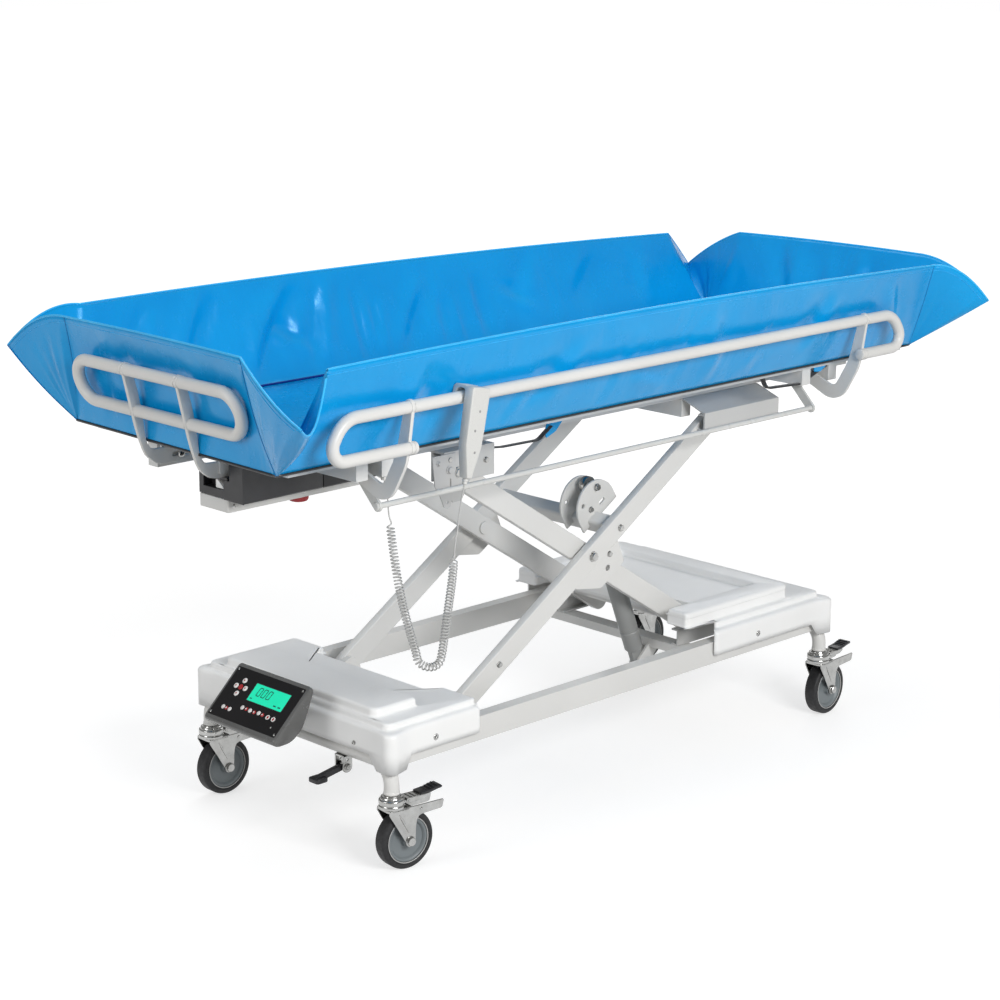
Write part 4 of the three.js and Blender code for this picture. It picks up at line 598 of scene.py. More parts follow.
# Dark grey round and on sunk screws: painted shade in their recesses
PAINTED_SHADE_GREY = moulded("shadow_grey_plastic", (0.30, 0.30, 0.30), (0.24, 0.24, 0.24), 0.5)
DIGIT = moulded("dark_digits", (0.005, 0.09, 0.07), (0.004, 0.07, 0.055), 0.3)
KEY = moulded("pale_keys", (0.80, 0.78, 0.76), (0.72, 0.70, 0.69), 0.35)
ACTUATOR = painted("actuator_grey", (0.30, 0.305, 0.30), (0.26, 0.265, 0.26), 0.4)
RODS = painted("pale_rods", (0.66, 0.66, 0.64), (0.60, 0.60, 0.58), 0.3)
STRAP = webbing("black_webbing", (0.02, 0.02, 0.022), (0.008, 0.008, 0.009))

BY_SLOT = {
    "white_paint": WHITE, "grey_paint": GREY, "zinc": ZINC, "cover": COVER, "tyre": TYRE, "hub": HUB,
    "black": BLACK, "silver": SILVER, "screen": SCREEN, "red": RED, "vinyl": VINYL, "handset": HANDSET,
    "cord": CORD,
}


# Floor and light
def make_stage():
    bpy.ops.mesh.primitive_plane_add(size=60)
    floor = bpy.context.object
    floor.name = "floor"
    look = Look("floor", (0.50, 0.50, 0.50), 0.9)
    glow = look.nodes.new("ShaderNodeEmission")
    glow.inputs["Color"].default_value = (1, 1, 1, 1)
    ray = look.nodes.new("ShaderNodeLightPath").outputs
    mirrored = look.math("MAXIMUM", ray["Is Glossy Ray"], ray["Is Transmission Ray"])
    seen = look.math("MAXIMUM", ray["Is Camera Ray"], mirrored)
    away = look.nodes.new("ShaderNodeVectorMath")
    away.operation = "LENGTH"
    look.links.new(look.place, away.inputs[0])
    strength = look.span(away.outputs["Value"], 1.4, 4.5, 0.62, 0.90)
    look.links.new(look.math("MULTIPLY", seen, strength), glow.inputs["Strength"])
    add = look.nodes.new("ShaderNodeAddShader")
    output = next(n for n in look.nodes if n.type == "OUTPUT_MATERIAL")
    look.links.new(look.shader.outputs[0], add.inputs[0])
    look.links.new(glow.outputs[0], add.inputs[1])
    look.links.new(add.outputs[0], output.inputs[0])
    floor.data.materials.append(look.material)

    world = bpy.data.worlds.new("studio")
    bpy.context.scene.world = world
    world.use_nodes = True
    tree = world.node_tree
    tree.nodes.clear()
    output = tree.nodes.new("ShaderNodeOutputWorld")
    mix = tree.nodes.new("ShaderNodeMixShader")
    ray = tree.nodes.new("ShaderNodeLightPath")
    tree.links.new(ray.outputs["Is Camera Ray"], mix.inputs[0])
    # The room's light on the trolley, then the white that the camera sees behind it
    for socket, color, strength in ((1, (1.0, 1.0, 0.99, 1), 0.38), (2, (1, 1, 1, 1), 1.0)):
        lamp = tree.nodes.new("ShaderNodeBackground")
        lamp.inputs["Color"].default_value = color
        lamp.inputs["Strength"].default_value = strength
        tree.links.new(lamp.outputs[0], mix.inputs[socket])
    tree.links.new(mix.outputs[0], output.inputs[0])

    def area(name, place, target, size, power):
        data = bpy.data.lights.new(name, "AREA")
        data.shape = "RECTANGLE"
        data.size, data.size_y = size
        data.energy = power
        made = link(name, data)
        made.location = place
        made.rotation_mode = "QUATERNION"
        made.rotation_quaternion = (Vector(target) - Vector(place)).to_track_quat("-Z", "Y")

    area("key", (-1.0, -4.3, 2.5), (0, 0, 0.6), (2.0, 1.2), 150)
    area("fill", (-4.6, 0.6, 2.2), (-0.4, 0, 0.6), (1.8, 1.8), 46)
    area("top", (0.6, 1.2, 4.4), (0.1, 0, 0.8), (3.2, 2.4), 44)
    area("rim", (3.8, 2.4, 2.6), (0.2, 0, 0.8), (1.8, 1.8), 20)


make_stage()
bpy.context.scene.view_settings.view_transform = "Standard"


# Basket
FLOOR_Z = 879.9
# Each corner: its place on the floor, then the end wall's top, the folded tip and the side wall's top
CORNERS = {
    "nl": ((-1003, -326), (-1048, -282, 1102), (-1064, -470, 999), (-943, -403, 1083)),
    "nr": ((950, -326), (1040, -292, 1084), (1044, -482, 995), (930, -403, 1081)),
    "fr": ((975, 328), (1040, 279, 1078), (1058, 468, 975), (901, 403, 1076)),
    "fl": ((-985, 328), (-1039, 282, 1104), (-1043, 482, 1021), (-918, 403, 1101)),
}
CORNERS = {name: dict(zip(("floor", "end", "tip", "side"), places)) for name, places in CORNERS.items()}
# How far the middle of each half of a corner's rim stands above the straight line: side half, then end half
CORNER_LIFTS = {"nl": (-52, -12), "nr": (24, 20), "fr": (2, 10), "fl": (24, 22)}
UP_STEPS = 22
VINYL_THICKNESS = 3.2
HEM = 2.2
WELD_OUT, WELD_DROP = 1.9, 13


def floor_corner(name):
    return Vector((*CORNERS[name]["floor"], FLOOR_Z))


def lifted_curve(start, end, lift, steps):
    """Places from start towards end on a curve whose middle is lifted off the straight line."""
    control = (start + end) / 2 + Vector((0, 0, 2 * lift))
    return [curved(start, control, end, i / steps) for i in range(steps)]


# Single folds, on the far wall as in the photo: from (along, up) to (along, up), then half width and depth
FOLDS = {
    "far": [
        (0.69, 0.95, 0.765, 0.02, 34, 15.3), (0.64, 0.98, 0.66, 0.05, 24, -11.7),
        (0.60, 0.85, 0.595, 0.02, 16, 9.9), (0.556, 0.70, 0.57, 0.02, 13, -9.0),
        (0.48, 0.75, 0.54, 0.05, 26, 12.6), (0.458, 0.62, 0.466, 0.05, 12, 8.1),
        (0.44, 0.60, 0.444, 0.05, 12, -8.1), (0.395, 0.80, 0.398, 0.04, 18, 9.9),
        (0.36, 0.62, 0.29, 0.35, 20, 6.3), (0.73, 0.55, 0.66, 0.25, 18, 8.1),
        (0.82, 0.95, 0.86, 0.15, 36, 10.8), (0.90, 0.9, 0.93, 0.2, 26, -9.0),
        (0.16, 0.9, 0.235, 0.3, 38, 7.2), (0.08, 0.8, 0.10, 0.2, 30, -6.3), (0.27, 0.95, 0.33, 0.3, 30, -6.3),
    ],
    "left": [
        (0.30, 0.95, 0.22, 0.2, 30, 3.0), (0.62, 0.9, 0.70, 0.15, 36, -3.0), (0.86, 0.8, 0.80, 0.2, 24, 2.5),
    ],
    "right": [(0.25, 0.9, 0.32, 0.15, 30, 8.1), (0.70, 0.95, 0.60, 0.2, 32, -8.1)],
    "near": [
        (0.13, 0.85, 0.16, 0.1, 34, 8.1), (0.36, 0.9, 0.33, 0.15, 40, -7.2),
        (0.47, 0.35, 0.55, 0.12, 16, 5.4), (0.58, 0.9, 0.63, 0.1, 38, 7.2),
        (0.80, 0.9, 0.77, 0.2, 34, -8.1), (0.92, 0.9, 0.95, 0.2, 26, 7.2),
    ],
}


class Wall:
    """One run of the basket's side: its rim, its foot on the floor, its outward direction and its creases."""

    def __init__(self, name, rim, foot, outward, bulge, creases):
        self.name, self.rim, self.foot = name, rim, foot
        self.outward, self.bulge, self.creases = outward, bulge, creases
        self.length = sum((b - a).length for a, b in zip(rim, rim[1:]))
        self.straight = name in ("near", "far", "left", "right")


def straight_wall(name, start, end, steps, crown, bulge, count, low, high):
    """A wall between two corners: its rim arches by crown, and count random creases lie from low to high."""
    which = "side" if name in ("near", "far") else "end"
    rim0, rim1 = Vector(CORNERS[start][which]), Vector(CORNERS[end][which])
    foot0, foot1 = floor_corner(start), floor_corner(end)
    along = (foot1 - foot0).normalized()
    out = Vector((along.y, -along.x, 0))
    rim, foot = [], []
    for i in range(steps):
        t = i / steps
        arch = 4 * t * (1 - t)
        rim.append(rim0.lerp(rim1, t) + Vector((0, 0, crown * arch)) + out * crown * 0.4 * arch)
        foot.append(foot0.lerp(foot1, t))
    creases = []
    for _ in range(count):
        u = dice.uniform(low, high)
        creases.append((
            u, dice.uniform(0.0, 0.25), u + dice.uniform(-0.05, 0.05), dice.uniform(0.45, 0.95),
            dice.uniform(9, 26), dice.choice((-1, 1)) * dice.uniform(1.6, 4.2),
        ))
    return Wall(name, rim, foot, [out] * steps, bulge, creases + FOLDS[name])


def corner_walls(name, first, last, steps=18):
    """The two halves of a corner's folded gusset, from first over the tip to last."""
    places = {which: Vector(place) for which, place in CORNERS[name].items()}
    lifts = dict(zip(("side", "end"), CORNER_LIFTS[name]))
    walls = []
    for a, b, which in ((first, "tip", first), ("tip", last, last)):
        start, end = places[a], places[b]
        normal = (end - start).cross(Vector((0, 0, 1))).normalized()
        creases = []
        for _ in range(3):
            u = dice.uniform(0.2, 0.8)
            lean, width = dice.uniform(-0.1, 0.1), dice.uniform(7, 14)
            creases.append((u, 0.1, u + lean, 0.9, width, dice.choice((-1, 1)) * dice.uniform(1.0, 2.4)))
        rim = lifted_curve(start, end, lifts[which], steps)
        walls.append(Wall(f"{name}_{which}", rim, [floor_corner(name)] * steps, [normal] * steps, 7, creases))
    return walls


def crease_height(u, v, length, height, creases):
    """How far the creases push a place of a wall outward: a fold beside a small ridge, faded at its ends."""
    total = 0.0
    for u0, v0, u1, v1, width, amount in creases:
        ax, ay, bx, by = u0 * length, v0 * height, u1 * length, v1 * height
        px, py = u * length, v * height
        dx, dy = bx - ax, by - ay
        size = math.hypot(dx, dy) or 1
        t = ((px - ax) * dx + (py - ay) * dy) / size ** 2
        if not 0 < t < 1:
            continue
        fade = math.sin(math.pi * t)
        off = ((px - ax) * dy - (py - ay) * dx) / size / width
        total += amount * fade * (1.6 * off * math.exp(-off * off) + 0.5 * math.exp(-off * off * 4))
    return total


def basket_walls():
    near = straight_wall("near", "nl", "nr", 150, 14, 9, 12, 0.0, 0.9)
    right = straight_wall("right", "nr", "fr", 50, 3, 1, 4, 0.05, 0.95)
    far = straight_wall("far", "fr", "fl", 150, 11, 9, 26, 0.42, 0.98)
    left = straight_wall("left", "fl", "nl", 50, 3, -16, 3, 0.05, 0.95)
    return [
        near, *corner_walls("nr", "side", "end"), right, *corner_walls("fr", "end", "side"),
        far, *corner_walls("fl", "side", "end"), left, *corner_walls("nl", "end", "side"),
    ]


def wall_place(wall, i, v):
    u = i / len(wall.rim)
    foot, rim = wall.foot[i], wall.rim[i]
    height = (rim - foot).length
    ends = min(1, 6 * min(u, 1 - u)) if wall.straight else 1
    push = wall.bulge * math.sin(math.pi * v) * (0.4 + 0.6 * ends)
    push += crease_height(u, v, wall.length, height, wall.creases)
    wave = math.sin(u * wall.length / 95 + 2.1 * v) + 0.6 * math.sin(u * wall.length / 41 + 5 * v + 1.3)
    push += 0.9 * wave * math.sin(math.pi * min(1, v * 1.15)) * ends
    return foot.lerp(rim, v) + wall.outward[i] * push


def foot_line(wall, corner):
    """The foot of a long wall, up to the corner where it ends."""
    return [wall_place(wall, i, 0) for i in range(len(wall.rim))] + [floor_corner(corner)]


def build_basket():
    walls = basket_walls()
    verts, faces = [], []
    levels = UP_STEPS + 1
    for wall in walls:
        for i in range(len(wall.rim)):
            verts += [wall_place(wall, i, (k / UP_STEPS) ** 0.9) for k in range(levels)]
    count = len(verts) // levels
    for c in range(count):
        n = (c + 1) % count
        for k in range(UP_STEPS):
            faces.append([c * levels + k, n * levels + k, n * levels + k + 1, c * levels + k + 1])
    # The floor spans between the walls' feet, a little raised and with soft ripples
    by_name = {wall.name: wall for wall in walls}
    near, far = foot_line(by_name["near"], "nr"), foot_line(by_name["far"], "fl")[::-1]
    steps_x, steps_y = len(near) - 1, 50
    start = len(verts)
    for i in range(steps_x + 1):
        for j in range(steps_y + 1):
            p = near[i].lerp(far[i], j / steps_y)
            edge = min(1, 8 * min(i / steps_x, 1 - i / steps_x, j / steps_y, 1 - j / steps_y))
            ripple = 0.7 * math.sin(p.x / 120 + p.y / 60) + 0.5 * math.sin(p.x / 47 - p.y / 90)
            verts.append(p + Vector((0, 0, edge * (1.6 + ripple))))
    for i in range(steps_x):
        for j in range(steps_y):
            a = start + i * (steps_y + 1) + j
            b = a + steps_y + 1
            faces.append([a, b, b + 1, a + 1])
    mesh = bpy.data.meshes.new("basket_vinyl")
    mesh.from_pydata([v * MM for v in verts], [], faces)
    turn_outward(mesh, weld=1.2 * MM)
    made = link("basket_vinyl", mesh)
    thicken(made, VINYL_THICKNESS, 0)
    finish_piece(made, VINYL, "bed", 75)
    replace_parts(made, "basket")
    build_seams(walls)


def build_seams(walls):
    """A rolled hem and a weld line below it, lighter blue as a painted highlight along the rim, weld lines up
    the folds, a navy seam inside the floor's edge as painted shade in that corner, and a black line round the
    outside of the walls' foot.
    """
    rim, weld, foot = [], [], []
    folds, inner = Bits(), Bits()
    for wall in walls:
        across = wall.outward[0] * WELD_OUT
        folds.tube([wall_place(wall, 0, k / 24) + across for k in range(25)], 1.0, 6)
        for i, out in enumerate(wall.outward):
            rim.append(wall_place(wall, i, 1.0) + Vector((0, 0, 0.6)))
            v = 1 - WELD_DROP / (wall.rim[i] - wall.foot[i]).length
            weld.append(wall_place(wall, i, v) + out * WELD_OUT)
        if wall.straight:
            low = [wall_place(wall, i, 0) for i in range(len(wall.rim))]
            foot += [p + out * 1.5 for p, out in zip(low, wall.outward)]
            inside = [p - out * 3 + Vector((0, 0, 4.5)) for p, out in zip(low, wall.outward)]
            inner.tube(inside[2:], 2.6, 8)
    # The hem and the weld line below it are lighter blue: a painted highlight along the rim
    Bits().tube(loosened(rim), HEM, 10, closed=True).piece("basket_hem", RIM_HIGHLIGHT_BLUE, "bed", "vinyl", 60)
    Bits().tube(loosened(weld), 0.7, 6, closed=True).piece("basket_weld_line", RIM_HIGHLIGHT_BLUE, "bed", "vinyl", 60)
    folds.piece("basket_fold_welds", DEEP_BLUE, "bed", "vinyl", 60)
    # The seam inside the floor's edge is navy: painted shade in the corner between floor and walls
    inner.piece("basket_inner_seam_shade", SEAM_SHADE_NAVY, "bed", "vinyl", 60)
    # A black tube round the outside of the walls' foot
    Bits().tube(loosened(foot), 3.0, 8, closed=True).piece("basket_foot_black_line", BLACK, "bed", "black", 60)


def loosened(places, least=1.5):
    """The places without those that lie closer than least to the one before."""
    kept = [places[0]]
    for p in places[1:]:
        if (p - kept[-1]).length > least:
            kept.append(p)
    return kept


# Curly cord
CORD_RADIUS = 1.5
CURL_RADIUS = 7.5
CURLS = 84
CURL_STEPS = 14
GROWING_CURLS, LONGER_PITCH = 2.4, 1.9
GLAND_END = (-697, -283, 814.06)
# Places that the cord hangs through, from the gland's end
CORD_ROUTE = [
    (7, -1, -38), (6, -5, -66), (1, -20, -119), (-6, -44, -193), (11, -47, -268), (33, -51, -342),
    (40, -54, -369), (49, -72, -377), (58, -90, -369), (62, -98, -344), (58, -117, -262), (52, -137, -184),
    (49, -148, -117), (53, -151, -81), (61, -151, -33),
]
HANDSET_X, RAIL_Y, RAIL_TOP_Z = -593, 405, 984.86
HANDSET_TILT = Matrix.Rotation(math.radians(11), 4, "Y")
ON_RAIL = Matrix.Translation((HANDSET_X, -RAIL_Y, RAIL_TOP_Z)) @ HANDSET_TILT


def through(points, t):
    """A smooth line through points, where t runs from 0 to the number of spans."""
    i = min(int(t), len(points) - 2)
    s = t - i
    p1, p2 = points[i], points[i + 1]
    p0 = points[i - 1] if i else p1 * 2 - p2
    p3 = points[i + 2] if i + 2 < len(points) else p2 * 2 - p1
    square, cube = 2 * p0 - 5 * p1 + 4 * p2 - p3, 3 * p1 - p0 - 3 * p2 + p3
    return 0.5 * (2 * p1 + (p2 - p0) * s + square * s * s + cube * s ** 3)


def build_cord():
    tail = ON_RAIL @ Vector((0, -28.5, -155.9))
    down = HANDSET_TILT.to_3x3() @ Vector((0, 0, -1))
    exit_place = Vector(GLAND_END)
    route = [exit_place + Vector(p) for p in ((0, 0, -5), *CORD_ROUTE)] + [tail + down * 5]
    # The curls fill the spans from first to last, with the lead straight before and after them
    first, last = 2, 13
    samples = [first + (last - first) * i / 600 for i in range(601)]
    lengths = [0.0]
    for a, b in zip(samples, samples[1:]):
        lengths.append(lengths[-1] + (through(route, b) - through(route, a)).length)
    centres = [exit_place] + [through(route, t / 4) for t in range(4 * first)]
    steps = CURLS * CURL_STEPS
    normal = Vector((1, 0, 0))
    # The curls grow out of the straight lead over the first turns, with a longer pitch while they are narrow
    grow = [eased(min(i, steps - i) / (GROWING_CURLS * CURL_STEPS)) for i in range(steps + 1)]
    advance = [0.0]
    angles = [0.0]
    for a, b in zip(grow, grow[1:]):
        advance.append(advance[-1] + 1 + LONGER_PITCH * (1 - (a + b) / 2))
        angles.append(angles[-1] + 2 * math.pi / CURL_STEPS * (a + b) / 2)
    for i in range(steps + 1):
        t = float(np.interp(lengths[-1] * advance[i] / advance[-1], lengths, samples))
        tangent = (through(route, t + 0.02) - through(route, t - 0.02)).normalized()
        normal = (normal - tangent * normal.dot(tangent)).normalized()
        spoke = normal * math.cos(angles[i]) + tangent.cross(normal) * math.sin(angles[i])
        centres.append(through(route, t) + spoke * CURL_RADIUS * grow[i])
    centres += [through(route, last + k / 4) for k in range(1, 4 * (len(route) - 1 - last) + 1)]
    centres.append(tail)
    made = Bits().tube(centres, CORD_RADIUS, 8).piece("curly_cord_fine", CORD, None, "cord", 80)
    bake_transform(made)
    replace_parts(made, "curly_cord")
    length = sum((b - a).length for a, b in zip(centres, centres[1:]))


build_cord()
build_basket()


# Base frame and castors
STEM_X, STEM_Y = 691.388, 292.7
CROWN_TOP_Z, STEM_BOTTOM_Z, END_TUBE_Z = 137, 164, 228
SWIVELS = {"left_near": -7.6, "left_far": -1.5, "right_near": 3.8, "right_far": 2}
AXLE_X, WHEEL_R = 30, 62.5
SIDES = (("near", -1), ("far", 1))
ENDS = (("left", -1), ("right", 1))


def build_end_tubes():
    for end, sx in ENDS:
        x = sx * STEM_X
        corners = [
            (x, -STEM_Y, STEM_BOTTOM_Z), (x, -STEM_Y, END_TUBE_Z),
            (x, STEM_Y, END_TUBE_Z), (x, STEM_Y, STEM_BOTTOM_Z),
        ]
        bits = Bits().tube(bent(corners, [46, 46], 14), 16, 36)
        collar = [(16.2, 0), (17.0, 0.8), (17.0, 5.2), (16.2, 6)]
        for y in (-STEM_Y, STEM_Y):
            bits.lathe(collar, (x, y, STEM_BOTTOM_Z + 0.2), (0, 0, 1), 36)
        made = bits.piece(f"end_tube_fine_{end}", WHITE, "base", "white_paint", 50)
        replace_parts(made, f"base_end_tube_{end}")


def castor_fork():
    cup = [
        (26.2, -1), (27.0, 0), (27.0, 4), (25.6, 5.4), (25.2, 6.8), (26.6, 8), (27.0, 9.2), (27.0, 16.5),
        (26.0, 18.2), (24.0, 19.2), (23.6, 21), (22.4, 23), (19.5, 24), (18.6, 26.4), (15.0, 26.6),
    ]
    bits = Bits().lathe(cup, (0, 0, CROWN_TOP_Z), (0, 0, 1), 44)
    bits.plate(rounded(-22, 36, -24, 24, 9), [], 131, 137, "z", 1.6)
    leg = [(-20, 136), (-21, 128)] + arc(AXLE_X, WHEEL_R, 12, sweep(math.pi, 12, math.pi)) + [
        (43.5, 92), (46, 106), (51, 113), (58, 115.5), (104, 117.5), (109, 119.5), (113, 134), (110, 136.5),
        (60, 136.5),
    ]
    for sy in (-1, 1):
        bits.plate(leg, [], sy * 21, sy * 24, "y", 0.9)
        rib = bent([(2, sy * 24.2, 126), (10, sy * 24.6, 112), (25, sy * 24.2, 82)], [60], 6)
        bits.tube(rib, [0.6] + [2.2] * (len(rib) - 2) + [0.6], 12)
        bits.dome_head((56, sy * 24, 127), (0, sy, 0), 3.4, 1.6, 18)
        bits.hex_head((AXLE_X, sy * 24, WHEEL_R), (0, sy, 0), 17, 4.6, 0.3, 11)
    return bits.rod((AXLE_X, -27.4, WHEEL_R), (AXLE_X, 27.4, WHEEL_R), 5.6)


def on_axle(profile):
    """A wheel part turned round the axle, from the outline of the half that lies at positive Y."""
    mirrored = [(r, -y) for r, y in profile[::-1]]
    return Bits().lathe(mirrored + profile, (AXLE_X, 0, WHEEL_R), (0, 1, 0), 72, closed=True)


def castor_tyre():
    tread = [(WHEEL_R - 6 + 6 * math.cos(t), 10 + 5.6 * math.sin(t)) for t in sweep(math.pi / 2, 6)]
    return on_axle(tread + [(52.5, 15.9), (51.6, 15.2), (50.8, 15.9), (48.6, 15.6), (47.2, 14.4)])


def castor_hub():
    half = [
        (6.2, 18.6), (12.0, 18.6), (13.0, 17.6), (13.2, 12.0), (15.5, 8.2), (24, 6.6), (34, 6.9), (38.5, 8.4),
        (41.0, 12.6), (43.0, 14.3), (46.0, 14.6), (46.9, 13.6),
    ]
    return on_axle(half[::-1])


def castor_hub_rings():
    profile = [(47.4, 0), (49.4, 0), (49.4, 0.9), (48.9, 1.3), (47.9, 1.3), (47.4, 0.9)]
    rings = Bits()
    for out in (-1, 1):
        rings.lathe(profile, (AXLE_X, out * 14.7, WHEEL_R), (0, out, 0), 72, closed=True)
    return rings


def castor_pedal_plate():
    steel = Bits()
    side = [
        (27.6, 143.6), (34, 141.5), (70, 142.5), (82, 147), (82, 152), (78, 152), (34, 151.5), (27.6, 150.5),
    ]
    for y0, y1 in ((-14.8, -12.6), (12.6, 14.8)):
        steel.plate(side, [], y0, y1, "y", 0.5)
    steel.plate([(28, -14.8), (78, -14.8), (78, 14.8), (28, 14.8)], [], 150.2, 152.4, "z", 0.5)
    for x in (40, 50, 60):
        steel.box(x - 1.6, x + 1.6, -11, 11, 152.2, 153.6)
    return steel.rod((33, -15.6, 146.5), (33, 15.6, 146.5), 2.6, 16)


def castor_pedal_pad():
    side = [
        (62, 152.2), (86, 152.6), (103, 156.0), (113, 157.0), (116, 159.5), (113.5, 162.8), (100, 161.6),
        (86, 158.2), (62, 156),
    ]
    pad = Bits().plate(side, [], -15, 15, "y", 1.4)
    for x, z in ((80, 157.4), (88, 159.4), (96, 161.4), (104, 163.0)):
        pad.rod((x, -12.5, z), (x, 12.5, z), 1.5, 12, 0.4)
    return pad


def build_castors():
    for place, degrees in SWIVELS.items():
        sx = -1 if "left" in place else 1
        sy = -1 if "near" in place else 1
        turn = Matrix.Rotation(math.radians(degrees), 4, "Z")
        where = Matrix.Translation((sx * STEM_X, sy * STEM_Y, 0)) @ turn

        def put(bits, name, material, body, slot, sharp):
            return bits.moved(where).piece(f"{name}_{place}", material, f"{body}_{place}", slot, sharp)

        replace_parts(put(castor_fork(), "fork_fine", CHROME, "castor", "zinc", 35), f"castor_fork_{place}")
        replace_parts(put(castor_tyre(), "tyre_fine", TYRE, "wheel", "tyre", 40), f"castor_tyre_{place}")
        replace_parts(put(castor_hub(), "hub_fine", HUB, "wheel", "hub", 40), f"castor_hub_{place}")
        put(castor_hub_rings(), "hub_ring", RING, "wheel", "hub", 40)
        plate = put(castor_pedal_plate(), "pedal_plate", CHROME, "pedal", "zinc", 35)
        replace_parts(plate, f"castor_pedal_{place}")
        put(castor_pedal_pad(), "pedal_pad", BLACK, "pedal", "black", 35)


def screw_with_washer(bits, place, axis, radius=5.4):
    bits.lathe([(radius, 0), (radius, 0.5), (radius - 0.5, 0.9)], place, axis, 28)
    bits.socket_head(Vector(place) + Vector(axis) * 0.8, axis, radius * 0.66, 2.6)


def build_cover_details():
    bits, rims = Bits(), Bits()
    rim = [(7.2, -1.2), (7.2, 0.15), (6.0, 0.2), (5.6, -1.2)]
    for x in (-580, 445):
        for sy in (-1, 1):
            screw_with_washer(bits, (x, sy * 305.1, 261), (0, sy, 0))
            rims.lathe(rim, (x, sy * 305, 261), (0, sy, 0), 28, closed=True)
    for sx, y in ((-1, -201), (1, -201), (1, 201)):
        screw_with_washer(bits, (sx * 710.9, y, 254), (sx, 0, 0))
    bits.piece("cover_screws", CHROME, "base", "zinc")
    # Dark grey rings round the cover screws: painted shade in their recesses
    rims.piece("cover_screw_shade_rims", PAINTED_SHADE_GREY, "base", "cover")


def build_foot_lever():
    x, y, z, top = -STEM_X, -146, 186, 212.4
    foot = arc(x, z, 13, sweep(math.pi, 14, math.pi))
    cheek = [(x - 13, top), (x - 13, z + 4), *foot, (x + 13, z + 4), (x + 13, top)]
    bracket = Bits()
    for sy in (-1, 1):
        bracket.plate(cheek, [circle(x, z + 15, 2.6)], y + sy * 9, y + sy * 13, "y", 0.6)
        bracket.hex_head((x, y + sy * 13, z), (0, sy, 0), 11, 3.4, 0.2, 7)
    bracket.plate(rounded(x - 13, x + 13, y - 13, y + 13, 2), [], top - 4, top, "z", 0.6)
    bracket.rod((x, y - 15, z), (x, y + 15, z), 4)
    spring = []
    for i, t in enumerate(sweep(12 * math.pi, 96)):
        spring.append((x + 7.2 * math.cos(t), y - 6 + i * 0.125, z + 7.2 * math.sin(t)))
    bracket.tube(spring, 0.9, 8)
    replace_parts(bracket.piece("foot_bracket_fine", CHROME, "base", "zinc"), "foot_lever_bracket")
    tread_x, tread_z = x - 76, z - 12
    bar = thick_line([(x, z), (x - 25, z - 4), (tread_x, tread_z)], [24], 12, 6, 10)
    lever = Bits().plate(bar, [circle(x, z, 4.6)], y - 6.4, y + 6.4, "y", 1.2)
    tread = rounded(tread_x - 8, tread_x + 23, y - 16, y + 16, 7)
    lever.plate(tread, [], tread_z - 6, tread_z + 4, "z", 2.2)
    for k in range(5):
        rib_x = tread_x - 4 + 5.5 * k
        lever.rod((rib_x, y - 12, tread_z + 4), (rib_x, y + 12, tread_z + 4), 1.1, 10, 0.3)
    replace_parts(lever.piece("foot_lever_fine", BLACK, "foot_lever", "black"), "foot_lever")


# Display
DESK_RUN, DESK_RISE = 93, 89
DESK_LENGTH = math.hypot(DESK_RUN, DESK_RISE)
ON_DESK = Matrix.Translation((-845.2, 0, 268)) @ Matrix.Rotation(-math.atan2(DESK_RISE, DESK_RUN), 4, "Y")


def display_profile(inset):
    """Outline of the display's body from the side: a slope, a rolled lip below it and a hollow back."""
    corners = [
        (-748.5, 361.0, 5), (-851.5, 263.5, 9), (-838, 250.5, 9), (-800, 251.5, 16), (-768, 275, 16),
        (-751, 318, 16), (-738.5, 352, 6),
    ]
    centre = Vector((-792, 300))
    outline = []
    for i, (a, b, reach) in enumerate(corners):
        here = Vector((a, b))
        into = (here - Vector(corners[i - 1][:2])).normalized()
        out = (Vector(corners[(i + 1) % len(corners)][:2]) - here).normalized()
        outline += [curved(here - into * reach, here, here + out * reach, k / 6) for k in range(7)]
    return [tuple(p + (centre - p).normalized() * inset) for p in outline]


def build_display():
    half = 114.4
    edge = [(0, 6.5), (1.2, 3.4), (3.4, 1.2), (6.5, 0)]
    stations = [(a - half, inset) for a, inset in edge] + [(half - a, inset) for a, inset in edge[::-1]]
    housing = Bits().rings([[(a, y, b) for a, b in display_profile(inset)] for y, inset in stations])
    housing.plate([(-776, 282), (-711.4, 262), (-711.4, 292), (-752, 312)], [], -46, 46, "y", 1.6)
    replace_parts(housing.piece("display_housing_fine", SILVER, "base", "silver", 35), "display_housing")
    panel = Bits().plate(rounded(5, DESK_LENGTH - 4, -107.8, 107.8, 3), [], -0.6, 1.4, "z", 0.5)
    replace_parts(panel.moved(ON_DESK).piece("display_panel_fine", PANEL, "base", "black", 35), "display_panel")
    window = rounded(60.4, 101.6, -81.6, 28, 1.5)
    screen = Bits().plate(window, [], 1.2, 2.0, "z", 0.3).moved(ON_DESK)
    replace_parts(screen.piece("display_screen_fine", SCREEN, "base", "screen", 35), "display_screen")
    rim = Bits().plate(rounded(58.6, 103.4, -83.4, 29.8, 2.5), [window], 1.2, 2.3, "z", 0.3)
    rim.moved(ON_DESK).piece("display_screen_rim", BLACK, "base", "black", 35)
    build_digits()
    build_keys()


